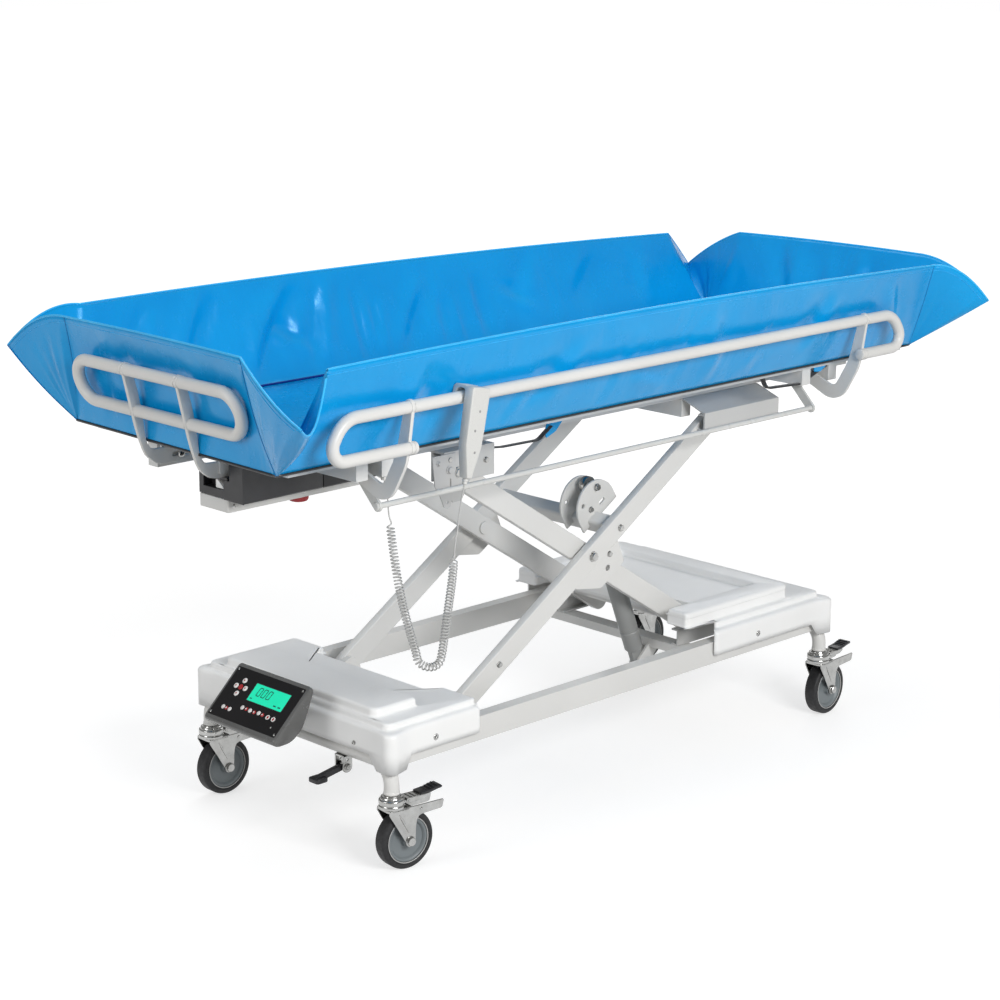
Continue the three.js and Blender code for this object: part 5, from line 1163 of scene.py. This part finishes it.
def build_digits():
    """Three leaning zeros of six bars each, and three small marks."""
    height, width, stroke, lean = 19.0, 9.4, 1.9, 0.12
    middle = height / 2
    zero = [
        (0, height, width, height), (width, middle, width, height), (width, 0, width, middle),
        (0, 0, width, 0), (0, 0, 0, middle), (0, middle, 0, height),
    ]
    bits = Bits()
    for left in (11.5, -4.0, -19.5):
        for across0, up0, across1, up1 in zero:
            a = Vector((75.5 + up0, left - across0 - up0 * lean, 0))
            b = Vector((75.5 + up1, left - across1 - up1 * lean, 0))
            along = (b - a).normalized()
            side = Vector((-along.y, along.x, 0)) * stroke / 2
            tip = along * stroke / 2
            ring = [a, a + tip + side, b - tip + side, b, b - tip - side, a + tip - side]
            bits.rings([[(p.x, p.y, h) for p in ring] for h in (1.9, 2.25)])
    for y0, y1, x0, x1 in ((-60, -52, 66, 69), (-74, -66, 66, 69), (16, 22, 65.5, 68)):
        bits.box(x0, x1, y0, y1, 1.9, 2.2)
    bits.moved(ON_DESK).piece("display_digits", DIGIT, "base", "black", 35)


def build_keys():
    light, red, lamp = Bits(), Bits(), Bits()
    up = (0, 0, 1)
    for x, y in ((98, 65.5), (82, 80.5), (82, 51), (66, 66)):
        light.dome_head((x, y, 1.3), up, 6.2, 1.9, 28)
        red.plate(circle(x, y, 1.7, 16), [], 3.0, 3.4, "z", 0.1)
    red.dome_head((82, 66, 1.3), up, 6.2, 1.9, 28)
    for x, y in ((29.5, 77.5), (29, 56), (41.6, 25), (41.2, 0), (42.6, -27)):
        light.dome_head((x, y, 1.3), up, 5.0, 1.7, 24)
    for x, y in ((29.2, 66.5), (41.6, 12.2), (40.6, -13.6), (41.6, -39.6)):
        red.dome_head((x, y, 1.3), up, 4.4, 1.5, 24)
        light.plate(circle(x, y, 1.9, 16), [], 2.6, 3.0, "z", 0.1)
    collar = [(5.4, 0), (5.4, 1.2), (4.9, 1.6), (3.6, 1.6), (3.2, 1.0), (3.2, 0)]
    for y in (-57.5, -75):
        light.lathe(collar, (40.6, y, 1.3), up, 28, closed=True)
        red.dome_head((40.6, y, 1.3), up, 3.1, 1.4, 20)
    lamp.dome_head((23, -82, 1.2), up, 2.2, 1.4, 18)
    for y in (-102.5, 102.5):
        for x in (11, DESK_LENGTH - 10):
            lamp.lathe([(2.6, 0), (2.6, 0.7), (1.9, 1.0), (1.2, 0.4)], (x, y, 1.2), up, 20)
    light.moved(ON_DESK).piece("display_keys_light", KEY, "base", "handset", 35)
    red.moved(ON_DESK).piece("display_keys_red", RED, "base", "red", 35)
    lamp.moved(ON_DESK).piece("display_lamp_and_screws", CHROME, "base", "zinc", 35)


# Lift
ARM_ANGLE = math.radians(32.5)
ARM_LENGTH, PIVOT, HINGE_X, BASE_HINGE_Z = 940, 470, -400, 257
ACTUATOR_Y = -90
TOP_HINGE_Z = BASE_HINGE_Z + ARM_LENGTH * math.sin(ARM_ANGLE)
ON_OUTER = Matrix.Translation((HINGE_X, 0, BASE_HINGE_Z)) @ Matrix.Rotation(-ARM_ANGLE, 4, "Y")
ON_INNER = Matrix.Translation((HINGE_X, 0, TOP_HINGE_Z)) @ Matrix.Rotation(ARM_ANGLE, 4, "Y")
# Where the faces of the arms lie across the trolley, from its middle
OUTER_IN, OUTER_OUT, INNER_IN, INNER_OUT = 176, 196, 148, 168
ROLLER_RIM = [(15, 0.8), (15, 13.4), (14.2, 14.4)]
ROLLER_FACE = [(7.5, 14.4), (7.5, 12.6), (3, 12.6)]


def hex_heads(y, out, rows):
    """Hexagon heads at one y that face out; a row has x, z, then size, height, turn and washer."""
    bits = Bits()
    for x, z, *shape in rows:
        bits.hex_head((x, y, z), (0, out, 0), *shape)
    return bits


def build_arms():
    bar = thick_line([(0, 0), (ARM_LENGTH, 0)], [], 50, 1, 16)
    gusset = [(390, -23), (393, -29), (448, -78), (455, -81), (532, -81), (540, -78), (549, -24)]
    for side, sy in SIDES:
        outer = Bits().plate(bar, [circle(0, 0, 10.5)], sy * OUTER_IN, sy * OUTER_OUT, "y", 2.2)
        outer.plate(gusset, [circle(492, -56, 7)], sy * 191.4, sy * 196.2, "y", 0.8)
        outer.rod((PIVOT, sy * 146, 0), (PIVOT, sy * 178, 0), 9.8, 28)
        outer.rod((PIVOT, sy * 143.2, 0), (PIVOT, sy * 147.4, 0), 15, 28)
        outer.rod((ARM_LENGTH, sy * 194, 0), (ARM_LENGTH, sy * 201.5, 0), 10, 28)
        made = outer.moved(ON_OUTER).piece(f"outer_arm_fine_{side}", WHITE, "outer_arms", "white_paint")
        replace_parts(made, f"scissor_outer_arm_{side}")
        profile = [*ROLLER_RIM, (6, 14.4), *ROLLER_FACE]
        roller = Bits().lathe(profile, (ARM_LENGTH, sy * 200, 0), (0, sy, 0), 36)
        roller.moved(ON_OUTER).piece(f"outer_roller_{side}", HUB, "outer_arms", "hub")
        bolts = hex_heads(sy * OUTER_OUT, sy, [
            (PIVOT, 0, 17, 6.2, 0.4, 12), (512, -31, 10, 4.2, 0.1, 7), (570, -5, 12, 4.6, 0.7, 8),
            (126.8, 0, 10, 4, 0.5, 7),
        ])
        bolts.moved(ON_OUTER).piece(f"outer_arm_bolts_{side}", CHROME, "outer_arms", "zinc")

        holes = [circle(0, 0, 10.5), circle(PIVOT, 0, 10.5)]
        inner = Bits().plate(bar, holes, sy * INNER_IN, sy * INNER_OUT, "y", 2.2)
        inner.rod((ARM_LENGTH, sy * 166, 0), (ARM_LENGTH, sy * 173.5, 0), 10, 28)
        made = inner.moved(ON_INNER).piece(f"inner_arm_fine_{side}", WHITE, "inner_arms", "white_paint")
        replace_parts(made, f"scissor_inner_arm_{side}")
        roller = Bits().lathe([*ROLLER_RIM, *ROLLER_FACE], (ARM_LENGTH, sy * 172, 0), (0, sy, 0), 36)
        roller.moved(ON_INNER).piece(f"inner_roller_{side}", HUB, "inner_arms", "hub")
        bolts = hex_heads(sy * INNER_IN, -sy, [(846, 0, 12, 4.6, 0.7, 8)])
        bolts.moved(ON_INNER).piece(f"inner_arm_bolts_{side}", CHROME, "inner_arms", "zinc")

        nuts = hex_heads(sy * 196.4, sy, [(HINGE_X, BASE_HINGE_Z, 24, 5.4, 0.2, 15)])
        nuts.piece(f"base_hinge_nuts_{side}", CHROME, "base", "zinc")
        bolts = hex_heads(sy * 178.2, sy, [
            (HINGE_X, TOP_HINGE_Z, 17, 6, 0.2, 12), (HINGE_X - 24, TOP_HINGE_Z + 31, 10, 4, 0.2, 7),
            (HINGE_X + 24, TOP_HINGE_Z + 31, 10, 4, 0.2, 7), (HINGE_X + 82, TOP_HINGE_Z + 14, 10, 4, 0.2, 7),
        ])
        bolts.piece(f"bed_hinge_bolts_{side}", CHROME, "bed", "zinc")


def build_cross_tube():
    """The outer arms' cross tube with its two half-round plates and the actuator's upper pin."""
    tube = Bits().plate(rounded(552, 588, -23, 13, 7, 6), [], -175.4, 175.4, "y", 1.0)
    half_round = [(654.5, -5), *arc(592.5, 20, 62, sweep(math.pi, 28)), (530.5, -5)]
    holes = [circle(560, 50, 5), slot_outline(606, 618, 20, 4)]
    bolts = Bits()
    for sy in (-1, 1):
        a, b = sorted((ACTUATOR_Y + sy * 22.6, ACTUATOR_Y + sy * 28.4))
        tube.plate(half_round, holes, a, b, "y", 0.8)
        bolts.hex_head((615, ACTUATOR_Y + sy * 30, 60), (0, sy, 0), 13, 4.5, 0.3, 8.5)
        bolts.hex_head((574, ACTUATOR_Y + sy * 28.6, 28), (0, sy, 0), 10, 4, 0.3, 7)
    tube.rod((615, ACTUATOR_Y - 33, 60), (615, ACTUATOR_Y + 33, 60), 6)
    made = tube.moved(ON_OUTER).piece("lift_cross_tube_fine", WHITE, "outer_arms", "white_paint")
    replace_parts(made, "scissor_outer_cross_tube")
    bolts.moved(ON_OUTER).piece("lift_cross_tube_bolts", CHROME, "outer_arms", "zinc")


def build_actuator():
    foot = Vector((270.03, ACTUATOR_Y, 180))
    eye = ON_OUTER @ Vector((PIVOT + 145.04, ACTUATOR_Y, 60))
    reach = eye - foot
    length = reach.length
    place = Matrix.Translation(foot) @ Matrix.Rotation(-math.atan2(reach.z, reach.x), 4, "Y")
    end = 0.58 * length
    foot_eye = thick_line([(0, 0), (44, 0)], [], 33, 1, 14)
    body = Bits().plate(foot_eye, [circle(0, 0, 6.6)], -7, 7, "y", 0.8)
    profile = [
        (14, 40), (19, 41), (22, 46), (22, 92), (20.5, 94), (20.5, 97), (22, 99), (22, end - 44),
        (20, end - 38), (20, end - 20), (17, end - 6), (15.4, end), (11.6, end), (11.6, end - 8),
    ]
    body.lathe(profile, (0, 0, 0), (1, 0, 0), 44).moved(place)
    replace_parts(body.piece("actuator_body_fine", ACTUATOR, "actuator_body", "grey_paint"), "actuator_body")
    rod = Bits().rod((end - 40, 0, 0), (length - 18, 0, 0), 11, 32)
    rod.plate(circle(length, 0, 20, 40), [circle(length, 0, 10, 28)], -7, 7, "y", 0.9).moved(place)
    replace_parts(rod.piece("actuator_rod_fine", CHROME, "actuator_rod", "zinc"), "actuator_rod")


# Rails
RIM_BOTTOM_Z = 863.46
RAIL_AXIS_Y, RAIL_AXIS_Z = 225, 845.96
LEFT_ARM_X, RIGHT_ARM_X = -741, 665
RAIL_STUB_Z = 904.86
RAIL_RADIUS = 12.5


def rail_arm_outline(sy):
    """The J-shaped arm of a side rail, which widens below the rail and ends at its hinge."""
    top, hinge = (RAIL_Y, RAIL_TOP_Z + 4, 0), (RAIL_AXIS_Y, RAIL_AXIS_Z, 0)
    line = bent([top, (383.4, FLOOR_Z, 0), (336.6, 796.96, 0), hinge], [120, 34], 8)
    widths = [22 + 10 * min(1, max(0, (RAIL_TOP_Z - p.y) / 110)) for p in line]
    widths[-1] = 28
    return [(sy * a, b) for a, b in band(line, widths)]


def add_beads(bits, ring, axis, steps):
    """Weld beads on both faces of a flat arm, where the rail's tube goes through it at ring."""
    x, y, z = ring
    for face in (-4.4, 4.4):
        if axis == "x":
            bead = [(x + face, a, b) for a, b in circle(y, z, 12.9, steps)]
        else:
            bead = [(a, y + face, b) for a, b in circle(x, z, 12.9, steps)]
        bits.tube(bead, 0.8, 8, closed=True)


def build_side_rails():
    for side, sy in SIDES:
        y = sy * RAIL_Y
        left_stub, right_stub = LEFT_ARM_X + 12, RIGHT_ARM_X - 12
        path = bent([
            (left_stub, y, RAIL_STUB_Z), (-958, y, RAIL_STUB_Z), (-906, y, RAIL_TOP_Z), (773, y, RAIL_TOP_Z),
            (825, y, RAIL_STUB_Z), (right_stub, y, RAIL_STUB_Z),
        ], [28, 60, 60, 28], 12)
        bits = Bits().tube(path, RAIL_RADIUS, 28)
        for x, out in ((left_stub, 1), (right_stub, -1)):
            bits.lathe([(12.4, -1), (11.6, 0.8), (8, 1.8), (1, 2.2)], (x, y, RAIL_STUB_Z), (out, 0, 0), 28)
        hinge_hole = circle(sy * RAIL_AXIS_Y, RAIL_AXIS_Z, 6.6)
        for x in (LEFT_ARM_X, RIGHT_ARM_X):
            bits.plate(rail_arm_outline(sy), [hinge_hole], x - 4, x + 4, "x", 0.9)
            for z in (RAIL_STUB_Z, RAIL_TOP_Z):
                add_beads(bits, (x, y, z), "x", 40)
        made = bits.piece(f"side_rail_fine_{side}", WHITE, f"side_rail_{side}", "white_paint", 38)
        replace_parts(made, f"side_rail_{side}")


def build_release_rods():
    left_x, right_x = LEFT_ARM_X + 8, 614
    for side, sy in SIDES:
        y, z = sy * 300, RAIL_AXIS_Z - 76
        lever = thick_line([(y, z), (sy * RAIL_AXIS_Y, RAIL_AXIS_Z)], [], 22, 1, 14)
        bits = Bits().rod((left_x - 3, y, z), (right_x + 9, y, z), 6, 24, 1.0)
        for x, out in ((left_x, -1), (right_x, 1)):
            bits.plate(lever, [circle(sy * RAIL_AXIS_Y, RAIL_AXIS_Z, 6.6)], x, x + 6, "x", 0.8)
            start = x if out < 0 else x + 6
            bits.lathe([(9, 0), (9, 1.6), (7, 3.4), (2, 3.8)], (start, y, z), (out, 0, 0), 24)
        made = bits.piece(f"release_rod_fine_{side}", RODS, f"release_rod_{side}", "zinc", 35)
        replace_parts(made, f"release_rod_{side}")


# The flat arms of the end rails: their outer and inner edges, from the tube down to the foot
ARM_OUTER = [
    (1049, 1022), (1035, 966), (1021, 911), (1013, 885), (1004, 862), (997, 849), (987, 839), (974, 830),
    (958, 826), (927, 826), (900, 828), (891, 831), (886, 838),
]
ARM_INNER = [
    (1028, 1022), (1021, 1000), (1014, 978), (1007, 945), (1001, 908), (998, 884), (994, 872), (987, 863),
    (977, 859), (950, 858), (927, 856), (900, 852), (889, 848),
]


def build_end_rails():
    bottom, top, bend = FLOOR_Z + 62, FLOOR_Z + 147, 42.5
    slot_z = 841.5

    def lean(z):
        return 990 + (z - RIM_BOTTOM_Z + 15.5) * 0.275

    for end, sx in ENDS:
        places = []
        for sy in (-1, 1):
            for turn in sweep(math.pi, 24, -math.pi / 2):
                z = bottom + bend + bend * sy * math.sin(turn)
                places.append((sx * lean(z), sy * (255 - bend) + bend * sy * math.cos(turn), z))
        bits = Bits().tube(places, RAIL_RADIUS, 28, closed=True)
        lift = (top - 1020) / 170
        outline = [(sx * x, z + lift * max(0, z - 850)) for x, z in ARM_OUTER + ARM_INNER[::-1]]
        slot = slot_outline(*sorted((sx * 896, sx * 930)), slot_z, 4.6)
        pins = Bits()
        for sy in (-1, 1):
            y = sy * 85
            bits.plate(outline, [slot], y - 4, y + 4, "y", 0.9)
            pins.dome_head((sx * 915, sy * 77, slot_z), (0, -sy, 0), 8, 3.4, 20)
            for z in (bottom, top):
                add_beads(bits, (sx * lean(z), y, z), "y", 36)
        made = bits.piece(f"end_rail_fine_{end}", WHITE, f"end_rail_{end}", "white_paint", 38)
        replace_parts(made, f"end_rail_{end}")
        pins.piece(f"end_rail_pins_{end}", CHROME, "bed", "zinc")


# Controls
def build_handset():
    half = [
        (16.5, 22.5), (22.5, 21.2), (24.4, 17.0), (24.4, 2), (23.0, -60), (21.8, -92), (15.0, -122),
        (11.4, -135), (7.8, -152), (6.6, -155.5),
    ]
    body = Bits().plate(half + [(-x, z) for x, z in half[::-1]], [], -40.5, -16.5, "y", 4.2)
    hook = [
        (-18.5, 0), (-18.5, 16.5), (-10.5, 22.5), (16.5, 22.5), (22.5, 16.5), (22.5, -12.5), (16.5, -12.5),
        (16.5, 0), *arc(0, 0, 16.5, sweep(math.pi, 16)),
    ]
    body.plate(hook, [], -17, 17, "x", 1.2)
    sleeve = [
        (6.4, 0), (6.4, 4), (5.2, 5), (5.2, 7), (5.8, 8), (5.8, 10), (4.6, 11), (4.6, 13), (5.0, 14),
        (5.0, 16), (3.6, 17), (2.2, 19),
    ]
    body.lathe(sleeve, (0, -28.5, -151), (0, 0, -1), 24)
    made = body.moved(ON_RAIL).piece("handset_fine", HANDSET, "side_rail_near", "handset", 40)
    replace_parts(made, "handset")
    screws = Bits()
    sunk = [(2.6, -1), (2.6, 0.1), (2.1, 0.5), (0.9, 0.55), (0.8, -0.6)]
    for x, z in ((2, -24), (-4, -62), (3, -104)):
        screws.lathe(sunk, (x, -40.6, z), (0, -1, 0), 20)
    # The sunk screws are dark grey: painted shade in their holes
    screws.moved(ON_RAIL).piece("handset_screws", PAINTED_SHADE_GREY, "side_rail_near", "handset", 40)


def build_controls():
    x0, x1, y0, y1 = -940, -560, -100, -10
    bottom, seam, top = 755.06, 782.06, 826.06
    shelf = -600
    knob_x, knob_y, knob_z = -725, -55, 749.66

    box = Bits().plate(rounded(x0, x1, y0, y1, 4), [circle(knob_x, knob_y, 12)], bottom, seam - 0.8, "z", 1.2)
    box.plate(rounded(shelf + 0.6, x1, y0, y1, 4), [], seam - 2, top - 20, "z", 1.2)
    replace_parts(box.piece("control_box_fine", WHITE, "bed", "white_paint"), "control_box")

    tray0, tray1, t0, t1 = y0 + 14, y1 - 14, top - 27, top - 7
    low, wrap0, wrap1, wrap_top = seam + 0.4, -154, y0 + 6, 858
    section = [(y0, low), (y1, low), (y1, top - 3), (y1 - 3, top), (y0 + 3, top), (y0, top - 3)]
    wrap = [
        (wrap0, low + 2.6), (-151.2, low), (wrap1, low), (wrap1, low + 3), (-151, low + 3), (-151, wrap_top),
        (wrap0, wrap_top),
    ]
    cheek = [(wrap0, low), (wrap1, low), (wrap1, 822), (-112, 822), (-112, wrap_top), (wrap0, wrap_top)]
    cover = Bits()
    cover.plate(section, [[(tray0, t0), (tray0, t1), (tray1, t1), (tray1, t0)]], x0, x0 + 22, "x", 1.0)
    cover.plate(section, [], x0 + 20, shelf, "x", 1.0)
    cover.plate(wrap, [], x0 - 4, -744, "x", 1.0)
    cover.plate(wrap, [], -742, shelf, "x", 1.0)
    cover.plate(cheek, [], x0 - 6, x0 - 3, "x", 1.0)
    for x in (x0 + 30, shelf - 14):
        cover.box(x - 0.8, x + 0.8, y0 - 0.7, y1 + 0.7, seam + 3, top - 4)
    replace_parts(cover.piece("control_cover_fine", BLACK, "bed", "black"), "control_cover")

    insert = [(tray0 + 2, t0 + 0.5), (tray1 - 34, t0 + 0.5), (tray1 - 34, t1 - 3), (tray0 + 22, t1 - 3)]
    plug = Bits().plate(insert, [], x0 + 4, x0 + 19, "x", 0.8)
    plug.piece("control_socket_insert", COVER, "bed", "cover")
    screws = Bits()
    for x in (x0 + 16, -750, shelf - 26):
        for y, out in ((y0, -1), (y1, 1)):
            screw_with_washer(screws, (x, y, bottom + 13), (0, out, 0), 4.2)
    screws.piece("control_screws", CHROME, "bed", "zinc")

    profile = [
        (10, -4.9), (10, 0), (19.0, 0.6), (20.2, 2.4), (20.6, 6), (20.2, 9.5), (18.2, 12.6), (13.5, 14.2),
        (6, 14.6), (1, 14.7),
    ]
    knob = Bits().lathe(profile, (knob_x, knob_y, knob_z), (0, 0, -1), 44)
    for x, y in circle(knob_x, knob_y, 20.2, 12):
        knob.rod((x, y, knob_z - 3.5), (x, y, knob_z - 9), 0.9, 8, 0.3)
    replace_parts(knob.piece("stop_knob_fine", RED, "stop_knob", "red"), "stop_knob")


def build_hangings():
    """Things under the basket: hanging plates on the brackets, a strap and a strut, and their blue tabs."""
    outline = [
        (-474, 806), (-408, 806), (-404, 736), (-416, 716), (-422, 694), (-431, 690), (-440, 694),
        (-452, 720), (-466, 742),
    ]
    slot = [(z - 424, 742.5 + x) for x, z in slot_outline(-7, 7, 0, 3.6)]
    plates = Bits()
    for sy in (-1, 1):
        a, b = sorted((sy * 178.3, sy * 181.3))
        plates.plate(outline, [slot, circle(-431, 704, 2.6)], a, b, "y", 0.7)
        plates.hex_head((-426, sy * 181.3, 772), (0, sy, 0), 12, 4.6, 0.3, 9)
        plates.hex_head((-456, sy * 181.3, 790), (0, sy, 0), 8, 3.2, 0.1, 6)
    plates.piece("bracket_hanging_plates", RING, "bed", "zinc")

    hanging = [(-352, 826), (-322, 797), (-249, 789), (-140, 787), (-102, 812)]
    strut = [(438, 876), (462, 836), (586, 830), (640, 850), (705, 870)]
    straps = Bits().plate(thick_line(hanging, [30, 40, 30], 2.6, 8, 4), [], -162, -149.8, "y", 0.4)
    straps.plate(thick_line(strut, [24, 60, 50], 4.4, 8, 4), [], -296, -284, "y", 0.6)
    straps.rod((700, -290, 870.4), (752, -290, 870.8), 7.6, 24, 1.4)
    straps.piece("bed_straps", STRAP, "bed", "black", 40)
    tab = [
        (-112, 866), (-34, 866), (-46, 842), (-60, 818), (-82, 797), (-110, 786), (-116, 800), (-106, 822),
    ]
    tabs = Bits().plate(tab, [], -153.4, -149.8, "y", 0.9)
    tabs.plate([(622, 878), (662, 878), (668, 861), (650, 851), (628, 853)], [], -298.6, -295, "y", 0.9)
    tabs.piece("bed_strap_tabs", VINYL, "bed", "vinyl", 40)


build_end_tubes()
build_castors()
build_cover_details()
build_foot_lever()
build_display()
build_arms()
build_cross_tube()
build_actuator()
build_side_rails()
build_release_rods()
build_end_rails()
build_handset()
build_controls()
build_hangings()


# Moulded covers
COVER_END, COVER_HALF, COVER_THICKNESS = 710.7, 305, 2.6
SKIRT_Z, POST_Z, LEDGE_Z, STEP_Z, PLATEAU_Z = 240, 212, 297, 311, 345
LEFT_PAD_Z, TRAY_Z = 330, 331
SIDE_STEPS, CORNER_STEPS = 18, 7


def cover_ring(end, half, wing, wing_half, notch, z, corner=14, posts=0.0):
    """One level of a cover, with a notch between two wings at its inner end.

    A place is (distance from the trolley's middle, across, up). The outer corners swell by posts.
    """
    tight = min(corner, 8)
    corners = [
        (end, -half, corner), (end, half, corner), (wing, half, tight), (wing, wing_half, tight),
        (notch, wing_half, tight), (notch, -wing_half, tight),
        (wing, -wing_half, tight), (wing, -half, tight),
    ]
    runs = []
    for i, (u, v, radius) in enumerate(corners):
        before, after = corners[i - 1], corners[(i + 1) % len(corners)]
        into = Vector((u - before[0], v - before[1]))
        out = Vector((after[0] - u, after[1] - v))
        radius = max(0.3, min(radius, into.length * 0.45, out.length * 0.45))
        if into.length < 0.6 or out.length < 0.6:
            radius = 0.2
        into, out = into.normalized(), out.normalized()
        start, finish = Vector((u, v)) - into * radius, Vector((u, v)) + out * radius
        run = []
        for t in sweep(math.pi / 2, CORNER_STEPS - 1)[:-1]:
            run.append(start + into * radius * math.sin(t) + out * radius * (1 - math.cos(t)))
        runs.append(run + [finish])
    places = []
    for i, run in enumerate(runs):
        places.extend(run)
        start, finish = run[-1], runs[(i + 1) % len(runs)][0]
        for k in range(1, SIDE_STEPS):
            places.append(start.lerp(finish, (1 - math.cos(math.pi * k / SIDE_STEPS)) / 2))
    ring = []
    for place in places:
        u, v, up = place.x, place.y, z
        near = math.hypot(COVER_END - u, COVER_HALF - abs(v))
        if posts:
            swell = posts * eased(1.25 - near / 48)
            u, v = u + swell * 0.5, v + math.copysign(swell, v)
            if z < SKIRT_Z + 0.5:
                up = z - (SKIRT_Z - POST_Z) * eased((60 - near) / 12)
        ring.append((u, v, up))
    return ring


def rounded_rise(ring_at, low, high, foot, crown, steps=5):
    """Rings by ring_at(inset, z): out of a hollow fillet at the foot, up, and over a round crown."""
    quarter = sweep(math.pi / 2, steps)
    rings = [ring_at(-foot * (1 - math.sin(t)), low + foot * (1 - math.cos(t))) for t in quarter if foot]
    if not foot:
        rings.append(ring_at(0, low))
    return rings + [ring_at(crown * (1 - math.cos(t)), high - crown + crown * math.sin(t)) for t in quarter]


def cover_piece(name, sx, levels, open_below):
    """Skins from stacked rings, open underneath and, below open_below, at the inner end."""
    run = CORNER_STEPS + SIDE_STEPS - 1
    inner_from, inner_to = 2 * run + CORNER_STEPS - 1, 7 * run
    bits = Bits()
    for rings in levels:
        count = len(rings[0])
        verts = [(sx * u, v, z) for ring in rings for u, v, z in ring]
        faces = []
        for i in range(len(rings) - 1):
            for k in range(count):
                heights = [rings[i][k][2], rings[i + 1][k][2]]
                if inner_from <= k < inner_to and max(heights) < open_below:
                    continue
                a, b, n = i * count, (i + 1) * count, (k + 1) % count
                faces.append([a + k, a + n, b + n, b + k])
        faces.append([(len(rings) - 1) * count + k for k in range(count)])
        if sx < 0:
            faces = [face[::-1] for face in faces]
        bits.add(verts, faces)
    mesh = bpy.data.meshes.new(name)
    mesh.from_pydata([Vector(v) * MM for v in bits.verts], [], bits.faces)
    mesh.validate()
    made = link(name, mesh)
    thicken(made, COVER_THICKNESS, -1)
    return finish_piece(made, COVER, "base", 40)


def build_covers():
    post = 12.0

    def skirt(wing, notch, wing_half):
        def ring_at(inset, z):
            end, half = COVER_END - inset, COVER_HALF - inset
            return cover_ring(end, half, wing + inset, wing_half + inset, notch + inset, z, 22, post)
        rings = [ring_at(0, SKIRT_Z), ring_at(0, SKIRT_Z + 12), ring_at(0, SKIRT_Z + 34)]
        return rings + rounded_rise(ring_at, SKIRT_Z + 40, LEDGE_Z, 0, 9)

    def step(end, half, wing, notch, wing_half, low, high, foot, crown, corner=16):
        def ring_at(inset, z):
            inner = (wing + inset, wing_half + inset, notch + inset)
            return cover_ring(end - inset, half - inset, *inner, z, corner)
        return rounded_rise(ring_at, low, high, foot, crown)

    left = skirt(452, 487, 186)
    left += step(698, 290, 453, 488, 188, LEDGE_Z, STEP_Z, 5, 5)
    left += step(690, 243, 575, 575.5, 120, STEP_Z, LEFT_PAD_Z, 6, 7, 18)
    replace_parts(cover_piece("cover_left_fine", -1, [left], LEDGE_Z - 9), "base_cover_left")

    low = skirt(296, 297, 206)
    low += step(693, 287, 316, 317, 207, LEDGE_Z, STEP_Z, 5, 5)
    end, half, wing = 596, 270, 230
    for inset, z in ((-6, STEP_Z), (-2, STEP_Z + 0.8), (-0.6, STEP_Z + 2.4), (0, STEP_Z + 6), (0, TRAY_Z)):
        low.append(cover_ring(end - inset, half - inset, wing + inset, 208, 335, z, 18))

    def frame_at(inset, z):
        return cover_ring(end - inset, half - inset, wing + inset, 210 + inset, 536 + inset, z, 18)

    frame_rings = [
        cover_ring(end, half, wing, 203, 528, TRAY_Z + 0.02, 18),
        cover_ring(end, half, wing, 207.6, 533.6, TRAY_Z + 1.6, 18),
    ]
    frame_rings += rounded_rise(frame_at, TRAY_Z + 5, PLATEAU_Z, 0, 7)
    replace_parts(cover_piece("cover_right_fine", 1, [low, frame_rings], STEP_Z + 1), "base_cover_right")


build_covers()


# CAD nodes that stay in sight, with the width of their soft edges
SOFT_EDGES = {
    "base_side_tube": 2.5, "base_cross_tube": 2.5, "base_hinge_channel": 1.0, "base_track": 1.0,
    "bed_track": 1.0, "bed_bracket": 0.8, "bed_cross_tube": 3.0, "bed_frame": 1.5, "scissor": 2.0,
}


def add_bevel(made, width):
    bevel = made.modifiers.new("edge", "BEVEL")
    bevel.width = width * MM
    bevel.segments = 2
    bevel.limit_method = "ANGLE"
    bevel.angle_limit = math.radians(35)
    bevel.harden_normals = True
    bevel.miter_outer = "MITER_ARC"


slots = {row["node"]: row["material_slot"] for row in frame["record"]["subparts"]}
for name, node in nodes.items():
    finish_piece(node, BY_SLOT[slots[name]], None)
    for start, width in SOFT_EDGES.items():
        if name.startswith(start) and not node.hide_render:
            add_bevel(node, width)
